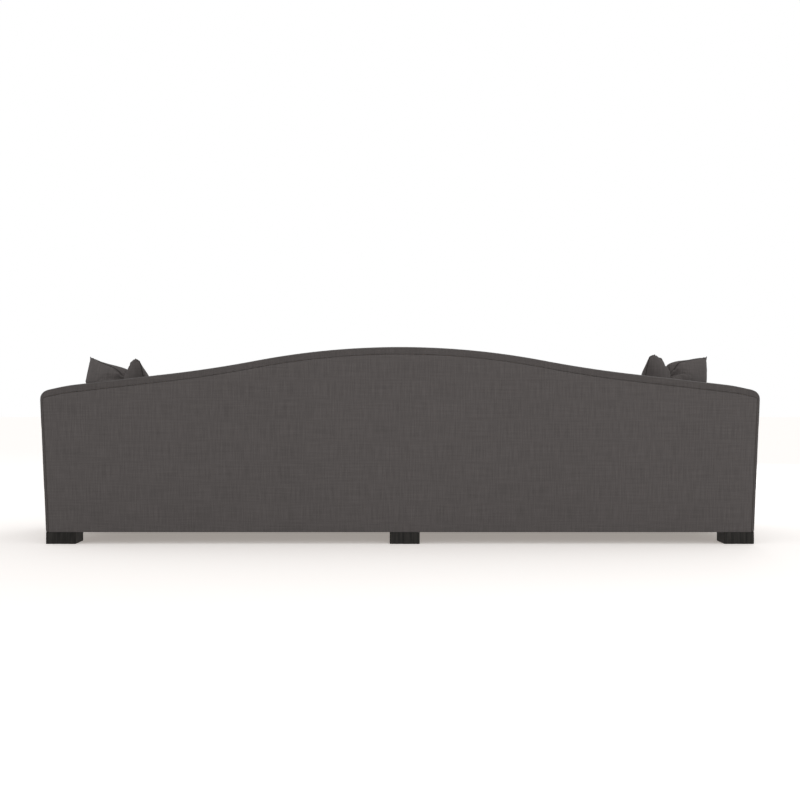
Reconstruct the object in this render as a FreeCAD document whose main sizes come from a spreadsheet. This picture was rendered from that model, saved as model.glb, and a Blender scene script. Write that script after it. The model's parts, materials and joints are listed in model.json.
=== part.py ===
import FreeCAD, Part
import math
import os
import Sketcher
from FreeCAD import Placement, Rotation, Vector

doc = FreeCAD.newDocument("camelback_sofa")

# Driving sizes, in millimetres and degrees.
SIZES = [
    ("overall_width", 3048),
    ("overall_depth", 940),
    ("overall_height", 840),
    ("foot_height", 50),
    ("foot_side", 128),
    ("foot_inset", 3),
    ("foot_edge", 2.5),
    ("centre_foot_shift", 20),
    ("bolt_diameter", 8),
    ("bolt_length", 70),
    ("bolt_depth", 34),
    ("bolt_clearance", 0.4),
    ("back_rake", 4),
    ("side_lean", 1.4),
    ("crown_radius", 3283),
    ("crown_slope", 10.74),
    ("sweep_radius", 5230),
    ("shoulder_slope", 6.54),
    ("ease_radius", 700),
    ("tip_slope", 12.5),
    ("tip_run", 37),
    ("shoulder_radius", 38),
    ("rear_edge_radius", 14),
    ("front_edge_radius", 28),
    ("inside_roll_radius", 55),
    ("back_end_thickness", 110),
    ("back_top_thickness", 132),
    ("inside_roll_drop", 5),
    ("inside_back_pitch", 14),
    ("top_seam_drop", 28),
    ("side_seam_inset", 15),
    ("back_padding", 22),
    ("arm_width", 165),
    ("arm_height", 645),
    ("arm_outer_radius", 45),
    ("arm_inner_radius", 35),
    ("arm_front_radius", 20),
    ("arm_seam_drop", 52),
    ("facing_inset", 24),
    ("arm_side_padding", 26),
    ("arm_top_padding", 24),
    ("arm_front_padding", 10),
    ("fabric", 2),
    ("fit_gap", 0.3),
    ("wadding", 2),
    ("liner", 3),
    ("web_thickness", 1.5),
    ("web_width", 60),
    ("rail_thickness", 32),
    ("rail_height", 190),
    ("back_frame_thickness", 40),
    ("top_rail_depth", 95),
    ("post_width", 100),
    ("upright_width", 60),
    ("tacking_rail_height", 50),
    ("arm_rail_thickness", 25),
    ("cross_rail_width", 60),
    ("cross_rail_height", 80),
    ("cross_rail_spacing", 880),
    ("corner_block_side", 84),
    ("corner_block_height", 60),
    ("border_recess", 10),
    ("border_padding", 12),
    ("border_edge_radius", 12),
    ("border_flap", 70),
    ("deck_padding", 33),
    ("dust_cover_inset", 6),
    ("cushion_side_gap", 1.5),
    ("cushion_back_gap", 4),
    ("cushion_front_inset", 3),
    ("cushion_height", 175),
    ("cushion_border", 132),
    ("cushion_pull", 8),
    ("cushion_corner_radius", 42),
    ("pillow_side", 406),
    ("pillow_thickness", 130),
    ("pillow_pull", 13),
    ("pillow_chop", 40),
    ("pillow_corner_radius", 14),
    ("pillow_flange", 5),
    ("pillow_turn", 50),
    ("pillow_lean", 27),
]

# Places worked out from the driving sizes.
LAYOUT = [
    ("half_width", "sizes.overall_width / 2"),
    ("front_y", "-sizes.overall_depth / 2"),
    ("rake_tan", "tan(sizes.back_rake * 1 deg)"),
    ("rake_cos", "cos(sizes.back_rake * 1 deg)"),
    ("lean_tan", "tan(sizes.side_lean * 1 deg)"),
    ("lean_cos", "cos(sizes.side_lean * 1 deg)"),
    ("crown_centre_z", "sizes.overall_height - sizes.crown_radius"),
    ("sweep_centre_x", "(sizes.crown_radius + sizes.sweep_radius) * sin(sizes.crown_slope * 1 deg)"),
    ("sweep_centre_z",
     "crown_centre_z + (sizes.crown_radius + sizes.sweep_radius) * cos(sizes.crown_slope * 1 deg)"),
    ("run_x", "sweep_centre_x - sizes.sweep_radius * sin(sizes.shoulder_slope * 1 deg)"),
    ("run_z", "sweep_centre_z - sizes.sweep_radius * cos(sizes.shoulder_slope * 1 deg)"),
    ("corner_x", "half_width - sizes.shoulder_radius"),
    ("tip_x", "(sizes.ease_radius - sizes.shoulder_radius) * sin(sizes.tip_slope * 1 deg)"
              " + sizes.tip_run * cos(sizes.tip_slope * 1 deg)"),
    ("run_length", "(corner_x - run_x - tip_x + sizes.ease_radius * sin(sizes.shoulder_slope * 1 deg))"
                   " / cos(sizes.shoulder_slope * 1 deg)"),
    ("ease_centre_x", "run_x + run_length * cos(sizes.shoulder_slope * 1 deg)"
                      " - sizes.ease_radius * sin(sizes.shoulder_slope * 1 deg)"),
    ("ease_centre_z", "run_z - run_length * sin(sizes.shoulder_slope * 1 deg)"
                      " - sizes.ease_radius * cos(sizes.shoulder_slope * 1 deg)"),
    ("corner_z", "ease_centre_z + (sizes.ease_radius - sizes.shoulder_radius) * cos(sizes.tip_slope * 1 deg)"
                 " - sizes.tip_run * sin(sizes.tip_slope * 1 deg)"),
    ("foot_half_width", "corner_x + sizes.shoulder_radius / lean_cos"
                        " + (sizes.foot_height - corner_z) * lean_tan"),
    ("back_floor_y", "sizes.overall_depth / 2 - sizes.rear_edge_radius * (1 - rake_cos)"
                     " - (sizes.overall_height - sizes.rear_edge_radius) * sin(sizes.back_rake * 1 deg)"),
    ("back_floor_z", "(sizes.overall_height - sizes.front_edge_radius) * (1 - rake_cos)"
                     " - (sizes.back_end_thickness - sizes.front_edge_radius) * sin(sizes.back_rake * 1 deg)"),
    ("back_foot_y", "back_floor_y + (sizes.foot_height - back_floor_z) * rake_tan"),
    ("frame_rear", "sizes.fabric + sizes.liner"),
    ("frame_front", "frame_rear + sizes.back_frame_thickness"),
    ("frame_face_y", "back_foot_y - frame_front / rake_cos"),
    ("arm_inner", "half_width - sizes.arm_width"),
    ("web_inner", "arm_inner + sizes.fabric + sizes.fit_gap + sizes.arm_side_padding"),
    ("frame_inner", "web_inner + sizes.web_thickness"),
    ("frame_outer", "foot_half_width - sizes.fabric - sizes.fit_gap - sizes.wadding - sizes.liner"),
    ("arm_frame_top", "sizes.arm_height - sizes.fabric - sizes.fit_gap - sizes.arm_top_padding"),
    ("post_front", "front_y + sizes.fabric + sizes.fit_gap + sizes.arm_front_padding"),
    ("border_front", "front_y + sizes.border_recess"),
    ("rail_front", "border_front + sizes.fabric + sizes.fit_gap + sizes.border_padding"),
    ("rail_rear", "rail_front + sizes.rail_thickness"),
    ("frame_bottom", "sizes.foot_height + sizes.fabric"),
    ("rail_top", "frame_bottom + sizes.rail_height"),
    ("deck_bottom", "rail_top + 2 * sizes.web_thickness"),
    ("deck_pad_top", "deck_bottom + sizes.deck_padding"),
    ("deck_top", "deck_pad_top + sizes.fabric"),
    ("cushion_width", "(2 * arm_inner - 4 * sizes.cushion_side_gap) / 3"),
    ("cushion_pitch", "cushion_width + sizes.cushion_side_gap"),
    ("foot_x", "foot_half_width - sizes.foot_inset - sizes.foot_side / 2"),
    ("foot_front_y", "front_y + sizes.foot_inset + sizes.foot_side / 2"),
    ("foot_rear_y", "back_foot_y - sizes.foot_inset - sizes.foot_side / 2"),
    ("centre_foot_front_y", "border_front + sizes.foot_inset + sizes.foot_side / 2"),
]


def fill_sheet(name, rows, prefix=""):
    sheet = doc.addObject("Spreadsheet::Sheet", name)
    for row, (alias, value) in enumerate(rows, start=1):
        sheet.set(f"A{row}", alias)
        sheet.set(f"B{row}", f"{prefix}{value}")
        sheet.setAlias(f"B{row}", alias)
    doc.recompute()
    return sheet


sizes = fill_sheet("sizes", SIZES)
layout = fill_sheet("layout", LAYOUT, prefix="=")


def read_sheet(sheet, rows):
    return {alias: float(getattr(sheet.get(alias), "Value", sheet.get(alias))) for alias, _ in rows}


s = {**read_sheet(sizes, SIZES), **read_sheet(layout, LAYOUT)}
SIDES = (("left", -1), ("right", 1))
FAR = s["overall_width"] + s["overall_depth"] + s["overall_height"]
RAKED = Placement(Vector(0, s["back_floor_y"], s["back_floor_z"]), Rotation(Vector(1, 0, 0), -s["back_rake"]))


def board(name, x, y, z, length, width, height):
    """A square-sawn board: its low corner and its three sides, each an expression."""
    box = doc.addObject("Part::Box", name)
    box.Label = name
    for path, text in (("Placement.Base.x", x), ("Placement.Base.y", y), ("Placement.Base.z", z),
                       ("Length", length), ("Width", width), ("Height", height)):
        box.setExpression(path, text)
    return box


def origin_plane(body, role):
    return [feature for feature in body.Origin.OriginFeatures if feature.Role == role][0]


def draw_polygon(sketch, corners):
    """Close a polygon whose corners are pairs of expressions in the sketch's plane."""
    points = [Vector(float(sketch.evalExpression(a)), float(sketch.evalExpression(b)), 0) for a, b in corners]
    count = len(points)
    for index in range(count):
        sketch.addGeometry(Part.LineSegment(points[index], points[(index + 1) % count]), False)
    for index in range(count):
        sketch.addConstraint(Sketcher.Constraint("Coincident", index, 2, (index + 1) % count, 1))
    for index, corner in enumerate(corners):
        for kind, text, value in (("DistanceX", corner[0], points[index].x),
                                  ("DistanceY", corner[1], points[index].y)):
            number = sketch.addConstraint(Sketcher.Constraint(kind, -1, 1, index, 1, value))
            sketch.setExpression(f"Constraints[{number}]", text)


def sawn(name, plane, corners, thickness, at=("0", "0", "0")):
    """A piece sawn to a polygon and padded square to its plane, placed by three expressions."""
    body = doc.addObject("PartDesign::Body", name)
    body.Label = name
    sketch = body.newObject("Sketcher::SketchObject", f"{name}_outline")
    sketch.AttachmentSupport = [(origin_plane(body, plane), "")]
    sketch.MapMode = "FlatFace"
    draw_polygon(sketch, corners)
    pad = body.newObject("PartDesign::Pad", f"{name}_pad")
    pad.Profile = sketch
    pad.setExpression("Length", thickness)
    for axis, text in zip("xyz", at):
        body.setExpression(f"Placement.Base.{axis}", text)
    return body


def formed(name, shape):
    """A piece whose curved form is built from faces and booleans."""
    feature = doc.addObject("Part::Feature", name)
    feature.Label = name
    feature.Shape = shape
    feature.Placement = shape.Placement
    return feature


def block(low, high):
    return Part.makeBox(high[0] - low[0], high[1] - low[1], high[2] - low[2], Vector(*low))


def both_sides(low, high):
    """The same block on the right and, mirrored, on the left."""
    return [block(low, high), block((-high[0], low[1], low[2]), (-low[0], high[1], high[2]))]


def back_slice(rear, front):
    """Everything between two planes parallel to the raked rear face, measured forward from it."""
    slab = Part.makeBox(2 * FAR, front - rear, 2 * FAR, Vector(-FAR, -front, -FAR))
    slab.Placement = RAKED
    return slab


def rear_y(z):
    return s["back_foot_y"] + (z - s["foot_height"]) * s["rake_tan"]


def inside_face_y(z):
    top = s["overall_height"]
    return rear_y(top) - s["back_top_thickness"] - (top - z) * math.tan(math.radians(s["inside_back_pitch"]))


def pitched():
    """Frame of the inside back: its face is the local XZ plane and its roll crests just under the ridge."""
    pitch = math.radians(s["inside_back_pitch"])
    roll = s["inside_roll_radius"]
    crest = s["overall_height"] - s["inside_roll_drop"]
    floor_z = crest - roll * (1 - math.sin(pitch)) - (s["overall_height"] - roll) * math.cos(pitch)
    return Placement(Vector(0, inside_face_y(floor_z), floor_z), Rotation(Vector(1, 0, 0), -s["inside_back_pitch"]))


def slope_point(centre_x, centre_z, radius, slope):
    angle = math.radians(slope)
    return Vector(centre_x + radius * math.sin(angle), 0, centre_z + radius * math.cos(angle))


def side_x(z, inset=0.0):
    """The leaning outer side of the sofa at a height."""
    tangent = s["corner_x"] + s["shoulder_radius"] / s["lean_cos"]
    return tangent + (z - s["corner_z"]) * s["lean_tan"] - inset / s["lean_cos"]


def camel_outline(inset, bottom=0.0, drop=0.0):
    """Outline of the back in its own plane, inset: crown, reverse sweeps, shoulders and leaning sides."""
    arcs = (
        (0.0, s["crown_centre_z"], s["crown_radius"] - inset, 0.0, s["crown_slope"]),
        (s["sweep_centre_x"], s["sweep_centre_z"], -s["sweep_radius"] - inset,
         s["crown_slope"], s["shoulder_slope"]),
        (s["ease_centre_x"], s["ease_centre_z"], s["ease_radius"] - inset, s["shoulder_slope"], s["tip_slope"]),
        (s["corner_x"], s["corner_z"], s["shoulder_radius"] - inset, s["tip_slope"], 90 + s["side_lean"]),
    )
    halves = []
    for hand in (1, -1):
        edges = []
        last = None
        for centre_x, centre_z, radius, first_slope, last_slope in arcs:
            slopes = (first_slope, (first_slope + last_slope) / 2, last_slope)
            points = [slope_point(centre_x, centre_z - drop, radius, slope) for slope in slopes]
            points = [Vector(hand * point.x, 0, point.z) for point in points]
            if last is not None and (last - points[0]).Length > 1e-6:
                edges.append(Part.LineSegment(last, points[0]).toShape())
            edges.append(Part.Arc(*points).toShape())
            last = points[2]
        foot = Vector(hand * side_x(bottom + drop, inset), 0, bottom)
        edges.append(Part.LineSegment(last, foot).toShape())
        halves.append((edges, foot))
    base = Part.LineSegment(halves[0][1], halves[1][1]).toShape()
    edges = [*halves[0][0], *halves[1][0], base]
    return Part.Face(Part.Wire(Part.__sortEdges__(edges)))


def raked(face, rear, front):
    """Extrude an outline square to the raked rear face, from one distance forward of it to another."""
    solid = face.translated(Vector(0, -front, 0)).extrude(Vector(0, front - rear, 0))
    solid.Placement = RAKED
    return solid


def below(height):
    return block((-FAR, -FAR, -FAR), (FAR, FAR, height))


def level_edges(solid, depth, lowest):
    """Edges that lie in one upright plane of a solid in its own frame, above its foot."""
    chosen = []
    for edge in solid.Edges:
        first, last = edge.ParameterRange
        points = [edge.valueAt(first), edge.valueAt((first + last) / 2), edge.valueAt(last)]
        if all(abs(point.y - depth) < 1e-3 for point in points) and any(point.z > lowest for point in points):
            chosen.append(edge)
    return chosen


def softened(solid, radius, depth, inward, lowest, facets=3):
    """Ease the edges in one upright plane with narrow facets that follow the arc of the radius."""
    if facets == 1:
        return solid.makeChamfer(0.75 * radius, level_edges(solid, depth, lowest))
    middle = radius * (2 - math.sqrt(2))
    outer = radius * (1 - math.tan(math.radians(11.25))) - middle
    solid = solid.makeChamfer(middle, level_edges(solid, depth, lowest))
    ridges = level_edges(solid, depth, lowest) + level_edges(solid, depth + inward * middle, lowest)
    return solid.makeChamfer(outer, ridges)


def back_slab(inset, bottom):
    """The back over the full width, with its rear and front edges rounded."""
    rear, front = -inset, inset - s["back_end_thickness"]
    foot = -s["foot_height"]
    solid = camel_outline(inset, foot).translated(Vector(0, front, 0)).extrude(Vector(0, rear - front, 0))
    solid = softened(solid, s["rear_edge_radius"] - inset, rear, -1, foot + 1, 1)
    solid = softened(solid, s["front_edge_radius"] - inset, front, 1, foot + 1, 1)
    solid.Placement = RAKED
    return solid.cut(below(bottom))


def back_wedge(inset, bottom):
    """The thicker inside back between the arms, leaning by its own pitch and rolled at its edges."""
    half = s["arm_inner"] - inset
    foot = -s["foot_height"]
    roll = s["inside_roll_radius"] - inset
    solid = camel_outline(inset, foot).translated(Vector(0, inset, 0)).extrude(Vector(0, s["overall_depth"] / 2, 0))
    solid = solid.common(block((-half, -FAR, -FAR), (half, FAR, FAR)))
    shoulders = []
    for edge in solid.Edges:
        ends = [vertex.Point for vertex in edge.Vertexes]
        along = abs(ends[0].y - ends[-1].y) > 1
        if along and abs(abs(ends[0].x) - half) < 1e-3 and ends[0].z > foot + 1:
            shoulders.append(edge)
    solid = solid.makeFillet(roll, shoulders)
    solid = softened(solid, roll, inset, 1, foot + 1, 1 if inset else 3)
    solid.Placement = pitched()
    knee = s["deck_top"] + s["cushion_border"]
    solid = solid.cut(block((-FAR, -FAR, -FAR), (FAR, inside_face_y(knee) + inset, knee)))
    return solid.cut(below(bottom)).cut(back_slice(-FAR, s["frame_front"]))


def arm_section(inset, bottom, hand):
    """Cross-section of an arm: leaning outside, rounded top, upright inside."""
    top = s["arm_height"] - inset
    inner = s["arm_inner"] + inset
    outer_radius = s["arm_outer_radius"] - inset
    inner_radius = s["arm_inner_radius"] - inset
    lean = math.radians(s["side_lean"])
    centre_z = top - outer_radius
    step = s["fit_gap"]
    centre_x = side_x(centre_z, inset) - step - outer_radius / math.cos(lean)
    start = Vector(centre_x + outer_radius * math.cos(lean), 0, centre_z - outer_radius * math.sin(lean))
    middle = Vector(centre_x + outer_radius * math.sqrt(0.5), 0, centre_z + outer_radius * math.sqrt(0.5))
    crest = Vector(centre_x, 0, top)
    inner_crest = Vector(inner + inner_radius, 0, top)
    inner_middle = Vector(inner + inner_radius * (1 - math.sqrt(0.5)), 0, top - inner_radius * (1 - math.sqrt(0.5)))
    inner_start = Vector(inner, 0, top - inner_radius)
    inner_foot = Vector(inner, 0, bottom)
    outer_foot = Vector(side_x(bottom, inset) - step, 0, bottom)
    edges = [
        Part.LineSegment(outer_foot, start).toShape(),
        Part.Arc(start, middle, crest).toShape(),
        Part.LineSegment(crest, inner_crest).toShape(),
        Part.Arc(inner_crest, inner_middle, inner_start).toShape(),
        Part.LineSegment(inner_start, inner_foot).toShape(),
        Part.LineSegment(inner_foot, outer_foot).toShape(),
    ]
    face = Part.Face(Part.Wire(edges))
    return face if hand > 0 else face.mirror(Vector(0, 0, 0), Vector(1, 0, 0))


def arm_form(inset, bottom, hand):
    """An arm from its rounded front to well inside the back."""
    front = s["front_y"] + inset
    solid = arm_section(inset, bottom, hand).translated(Vector(0, front, 0)).extrude(Vector(0, FAR, 0))
    solid = solid.cut(back_slice(-FAR, s["back_end_thickness"] - s["front_edge_radius"] - s["fabric"]))

    return softened(solid, s["arm_front_radius"] - inset, front, 1, bottom + 1, 1)


def upholstered_body(inset, bottom, wedge_bottom):
    """The whole upholstered outside, inset all round: back, inside back and both arms."""
    solid = back_slab(inset, bottom).fuse(back_wedge(inset, wedge_bottom))
    for _, hand in SIDES:
        solid = solid.fuse(arm_form(inset, bottom, hand))
    return solid


def only_solids(shape):
    solids = [solid for solid in shape.Solids if solid.Volume > 1]
    return solids[0] if len(solids) == 1 else Part.makeCompound(solids)


def frame_face(z):
    """Expression for where the front of the back frame stands at a height."""
    return f"(layout.frame_face_y + ({z} - sizes.foot_height) * layout.rake_tan)"


def square_feet():
    """Block feet under both ends and the shifted middle, drilled for their bolts."""
    places = []
    for side, hand in SIDES:
        places.append((f"foot_front_{side}", f"{hand} * layout.foot_x", "layout.foot_front_y"))
        places.append((f"foot_rear_{side}", f"{hand} * layout.foot_x", "layout.foot_rear_y"))
    places.append(("foot_front_centre", "-sizes.centre_foot_shift", "layout.centre_foot_front_y"))
    places.append(("foot_rear_centre", "-sizes.centre_foot_shift", "layout.foot_rear_y"))
    half = "sizes.foot_side / 2"
    square = [(f"-{half}", f"-{half}"), (half, f"-{half}"), (half, half), (f"-{half}", half)]
    for name, x, y in places:
        body = sawn(name, "XY_Plane", square, "sizes.foot_height", (x, y, "0"))
        doc.recompute()
        pad = body.Tip
        edge = body.newObject("PartDesign::Chamfer", f"{name}_edges")
        kept = s["foot_height"] - 1
        sharp = [f"Edge{number}" for number, line in enumerate(pad.Shape.Edges, start=1)
                 if min(vertex.Z for vertex in line.Vertexes) < kept]
        edge.Base = (pad, sharp)
        edge.setExpression("Size", "sizes.foot_edge")
        doc.recompute()
        bore = body.newObject("Sketcher::SketchObject", f"{name}_bore")
        bore.AttachmentSupport = [(origin_plane(body, "XY_Plane"), "")]
        bore.MapMode = "FlatFace"
        bore.setExpression("AttachmentOffset.Base.z", "sizes.foot_height")
        bore.addGeometry(Part.Circle(Vector(0, 0, 0), Vector(0, 0, 1), s["bolt_diameter"] / 2), False)
        bore.addConstraint(Sketcher.Constraint("Coincident", 0, 3, -1, 1))
        number = bore.addConstraint(Sketcher.Constraint("Radius", 0, s["bolt_diameter"] / 2))
        bore.setExpression(f"Constraints[{number}]", "sizes.bolt_diameter / 2 + sizes.bolt_clearance")
        pocket = body.newObject("PartDesign::Pocket", f"{name}_bolt_hole")
        pocket.Profile = bore
        pocket.setExpression("Length", "sizes.bolt_depth + sizes.bolt_clearance")
    return places


def bolts(places):
    """Hanger bolts that hold the feet."""
    shanks = []
    for name, x, y in places:
        shank = doc.addObject("Part::Cylinder", f"bolt_of_{name}")
        shank.setExpression("Radius", "sizes.bolt_diameter / 2")
        shank.setExpression("Height", "sizes.bolt_length")
        shank.setExpression("Placement.Base.x", x)
        shank.setExpression("Placement.Base.y", y)
        shank.setExpression("Placement.Base.z", "sizes.foot_height - sizes.bolt_depth")
        shanks.append(shank)
    group = doc.addObject("Part::Compound", "foot_bolts")
    group.Label = "foot_bolts"
    group.Links = shanks
    return group


def bolt_holes(places):
    """Clearance holes over every bolt, tall enough for whatever they pass through."""
    radius = s["bolt_diameter"] / 2 + s["bolt_clearance"]
    holes = []
    for _, x, y in places:
        centre = Vector(float(sizes.evalExpression(x)), float(sizes.evalExpression(y)), 0)
        top = s["foot_height"] - s["bolt_depth"] + s["bolt_length"] + s["bolt_clearance"]
        holes.append(Part.makeCylinder(radius, top, centre))
    return Part.makeCompound(holes)


def seat_frame(holes):
    rail_end = "layout.frame_inner"
    pieces = [board("front_seat_rail", f"-{rail_end}", "layout.rail_front", "layout.frame_bottom",
                    f"2 * {rail_end}", "sizes.rail_thickness", "sizes.rail_height")]
    post_rear = "(layout.post_front + sizes.rail_thickness)"
    side_rail = [
        (post_rear, "layout.frame_bottom"),
        (frame_face("layout.frame_bottom"), "layout.frame_bottom"),
        (frame_face("layout.rail_top"), "layout.rail_top"),
        (post_rear, "layout.rail_top"),
    ]
    for side, hand in SIDES:
        start = "layout.frame_outer - sizes.rail_thickness" if hand > 0 else "-layout.frame_outer"
        pieces.append(sawn(f"side_seat_rail_{side}", "YZ_Plane", side_rail, "sizes.rail_thickness",
                           (start, "0", "0")))
    low = s["frame_bottom"]
    rail_front, rail_rear = s["rail_front"], s["rail_rear"]
    cross_top = low + s["cross_rail_height"]
    back = back_slice(-FAR, s["frame_front"])
    rails = []
    for step in (-1, 0, 1):
        middle = step * s["cross_rail_spacing"] - (s["centre_foot_shift"] if step == 0 else 0)
        half = s["cross_rail_width"] / 2
        rails.append(block((middle - half, rail_rear, low), (middle + half, FAR / 2, cross_top)).cut(back))
    pieces.append(formed("seat_cross_rails", Part.makeCompound(rails).cut(holes)))
    block_side = s["corner_block_side"]
    block_top = low + s["corner_block_height"]
    outer = s["frame_outer"] - s["rail_thickness"]
    inner = outer - block_side
    rear = s["foot_rear_y"] - block_side / 2
    blocks = both_sides((inner, rail_rear, low), (outer, rail_rear + block_side, block_top))
    blocks += [solid.cut(back) for solid in both_sides((inner, rear, low), (outer, FAR / 2, block_top))]
    pieces.append(formed("corner_blocks", Part.makeCompound(blocks).cut(holes)))
    return pieces


def back_frame():
    """Posts, sawn camel rail, uprights and tacking rail, all flush between two raked planes."""
    stock = raked(camel_outline(s["back_padding"]), s["frame_rear"], s["frame_front"]).cut(below(s["frame_bottom"]))
    post_inner = side_x(s["frame_bottom"], s["back_padding"]) - s["post_width"]
    span = block((-post_inner, -FAR, 0), (post_inner, FAR, FAR))
    under_rail = raked(camel_outline(s["back_padding"] + s["top_rail_depth"]), 0, s["back_end_thickness"])
    pieces = []
    for side, hand in SIDES:
        low_x, high_x = sorted((hand * post_inner, hand * FAR))
        pieces.append(formed(f"back_post_{side}", stock.common(block((low_x, -FAR, 0), (high_x, FAR, FAR)))))
    between = stock.common(span)
    rail_top = s["rail_top"]
    pieces.append(formed("back_top_rail", between.cut(under_rail)))
    pieces.append(formed("back_seat_rail", between.common(block((-FAR, -FAR, 0), (FAR, FAR, rail_top)))))
    webs = between.common(under_rail).cut(block((-FAR, -FAR, 0), (FAR, FAR, rail_top)))
    spacing = s["cross_rail_spacing"]
    half = s["upright_width"] / 2
    strips = [block((step * spacing - half, -FAR, 0), (step * spacing + half, FAR, FAR)) for step in (-1, 0, 1)]
    uprights = webs.common(Part.makeCompound(strips))
    pieces.append(formed("back_uprights", uprights))
    low = s["deck_top"]
    tacking = webs.common(block((-FAR, -FAR, low), (FAR, FAR, low + s["tacking_rail_height"])))
    pieces.append(formed("back_tacking_rail", tacking.cut(uprights)))
    return pieces


def spread(first, last, target):
    """Evenly spaced places from first to last, about target apart."""
    count = max(2, round((last - first) / target) + 1)
    return [first + (last - first) * index / (count - 1) for index in range(count)]


def back_webbing():
    """Woven straps tacked over the front of the back frame, upright and lengthwise."""
    front = s["frame_front"] + s["web_thickness"]
    limit = raked(camel_outline(s["back_padding"]), s["frame_front"], front).cut(below(s["deck_top"]))
    half = s["web_width"] / 2
    reach = s["frame_inner"] - s["web_width"]
    straps = [block((x - half, -FAR, 0), (x + half, FAR, FAR)) for x in spread(-reach, reach, 3 * s["web_width"])]
    return limit.common(Part.makeCompound(straps))


def arm_frames():
    pieces = []
    width = "(layout.frame_outer - layout.frame_inner)"
    rail_low = "(layout.arm_frame_top - sizes.arm_rail_thickness)"
    top_rail = [
        ("layout.post_front", rail_low),
        (frame_face(rail_low), rail_low),
        (frame_face("layout.arm_frame_top"), "layout.arm_frame_top"),
        ("layout.post_front", "layout.arm_frame_top"),
    ]
    tacking_low = "layout.deck_top"
    tacking_top = "(layout.deck_top + sizes.tacking_rail_height)"
    post_rear = "(layout.post_front + sizes.rail_thickness)"
    tacking = [
        (post_rear, tacking_low),
        (frame_face(tacking_low), tacking_low),
        (frame_face(tacking_top), tacking_top),
        (post_rear, tacking_top),
    ]
    for side, hand in SIDES:
        inner = "layout.frame_inner" if hand > 0 else "-layout.frame_outer"
        pieces.append(board(f"arm_front_post_{side}", inner, "layout.post_front", "layout.frame_bottom",
                            width, "sizes.rail_thickness", f"{rail_low} - layout.frame_bottom"))
        pieces.append(sawn(f"arm_top_rail_{side}", "YZ_Plane", top_rail, width, (inner, "0", "0")))
        start = "layout.frame_inner" if hand > 0 else "-layout.frame_inner - sizes.arm_rail_thickness"
        pieces.append(sawn(f"arm_tacking_rail_{side}", "YZ_Plane", tacking, "sizes.arm_rail_thickness",
                           (start, "0", "0")))
        liner_rear = frame_face("sizes.foot_height")
        start = "layout.frame_outer" if hand > 0 else "-layout.frame_outer - sizes.liner"
        pieces.append(board(f"arm_liner_{side}", start, "layout.post_front + sizes.liner", "layout.frame_bottom",
                            "sizes.liner", f"{liner_rear} - layout.post_front - sizes.liner",
                            "layout.arm_frame_top - layout.frame_bottom"))
        low_x, high_x = sorted((hand * s["web_inner"], hand * s["frame_inner"]))
        rear = rear_y(s["deck_top"]) - (s["frame_front"] + s["web_width"]) / s["rake_cos"]
        front = s["post_front"] + s["web_width"]
        straps = [block((low_x, y - s["web_width"] / 2, s["deck_top"]),
                        (high_x, y + s["web_width"] / 2, s["arm_frame_top"]))
                  for y in spread(front, rear, 2.5 * s["web_width"])]
        pieces.append(formed(f"arm_webbing_{side}", Part.makeCompound(straps)))
    return pieces


def seat_webbing(uprights):
    """Two layers of straps over the seat rails: front to back, then side to side."""
    half = s["web_width"] / 2
    thickness = s["web_thickness"]
    reach = s["frame_inner"] - s["web_width"]
    rear = rear_y(s["rail_top"]) - s["frame_rear"] / s["rake_cos"]
    lengthwise = [block((x - half, s["rail_front"], s["rail_top"]), (x + half, rear, s["rail_top"] + thickness))
                  for x in spread(-reach, reach, 2.5 * s["web_width"])]
    first = s["rail_rear"] + s["web_width"]
    last = rear_y(s["rail_top"]) - s["frame_front"] / s["rake_cos"] - s["web_width"]
    end = s["frame_outer"]
    across = [block((-end, y - half, s["rail_top"] + thickness), (end, y + half, s["deck_bottom"]))
              for y in spread(first, last, 2.5 * s["web_width"])]
    return Part.makeCompound(lengthwise + across).cut(uprights)


def rear_panel(extra, rear, front, bottom=0.0):
    """The outside back inside its seam, which follows the camel line below the top edge."""
    sides = raked(camel_outline(s["side_seam_inset"] + extra), rear, front)
    return sides.common(raked(camel_outline(extra, 0, s["top_seam_drop"]), rear, front)).cut(below(bottom))


def facing_panel(extra, bottom, hand):
    """Face of an arm front, inside its own seam."""
    return arm_section(s["facing_inset"] + extra, bottom, hand)


def through_front(face, front, rear):
    return face.translated(Vector(0, front, 0)).extrude(Vector(0, rear - front, 0))


def seat_hollows():
    """The space of the seat frame and the deck, where neither cover nor padding goes."""
    frame_space = block((-s["frame_inner"], s["rail_front"], 0), (s["frame_inner"], FAR, s["deck_bottom"]))
    deck_space = block((-s["arm_inner"], s["rail_front"], s["deck_bottom"]), (s["arm_inner"], FAR, s["deck_top"]))
    return (frame_space.cut(back_slice(-FAR, s["frame_rear"])),
            deck_space.cut(back_slice(-FAR, s["frame_front"] + s["web_thickness"])))


def arm_regions():
    """For each side: the space of an arm in front of the back, and of its lower outside."""
    ahead = back_slice(s["back_end_thickness"], FAR)
    seam = s["arm_height"] - s["arm_seam_drop"]
    middle = s["half_width"] - s["arm_width"] / 2
    regions = {}
    for side, hand in SIDES:
        low_x, high_x = sorted((hand * s["arm_inner"], hand * FAR))
        arm = block((low_x, -FAR, 0), (high_x, FAR, FAR)).common(ahead)
        low_x, high_x = sorted((hand * middle, hand * FAR))
        regions[side] = (arm, block((low_x, -FAR, 0), (high_x, FAR, seam)))
    return regions


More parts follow.
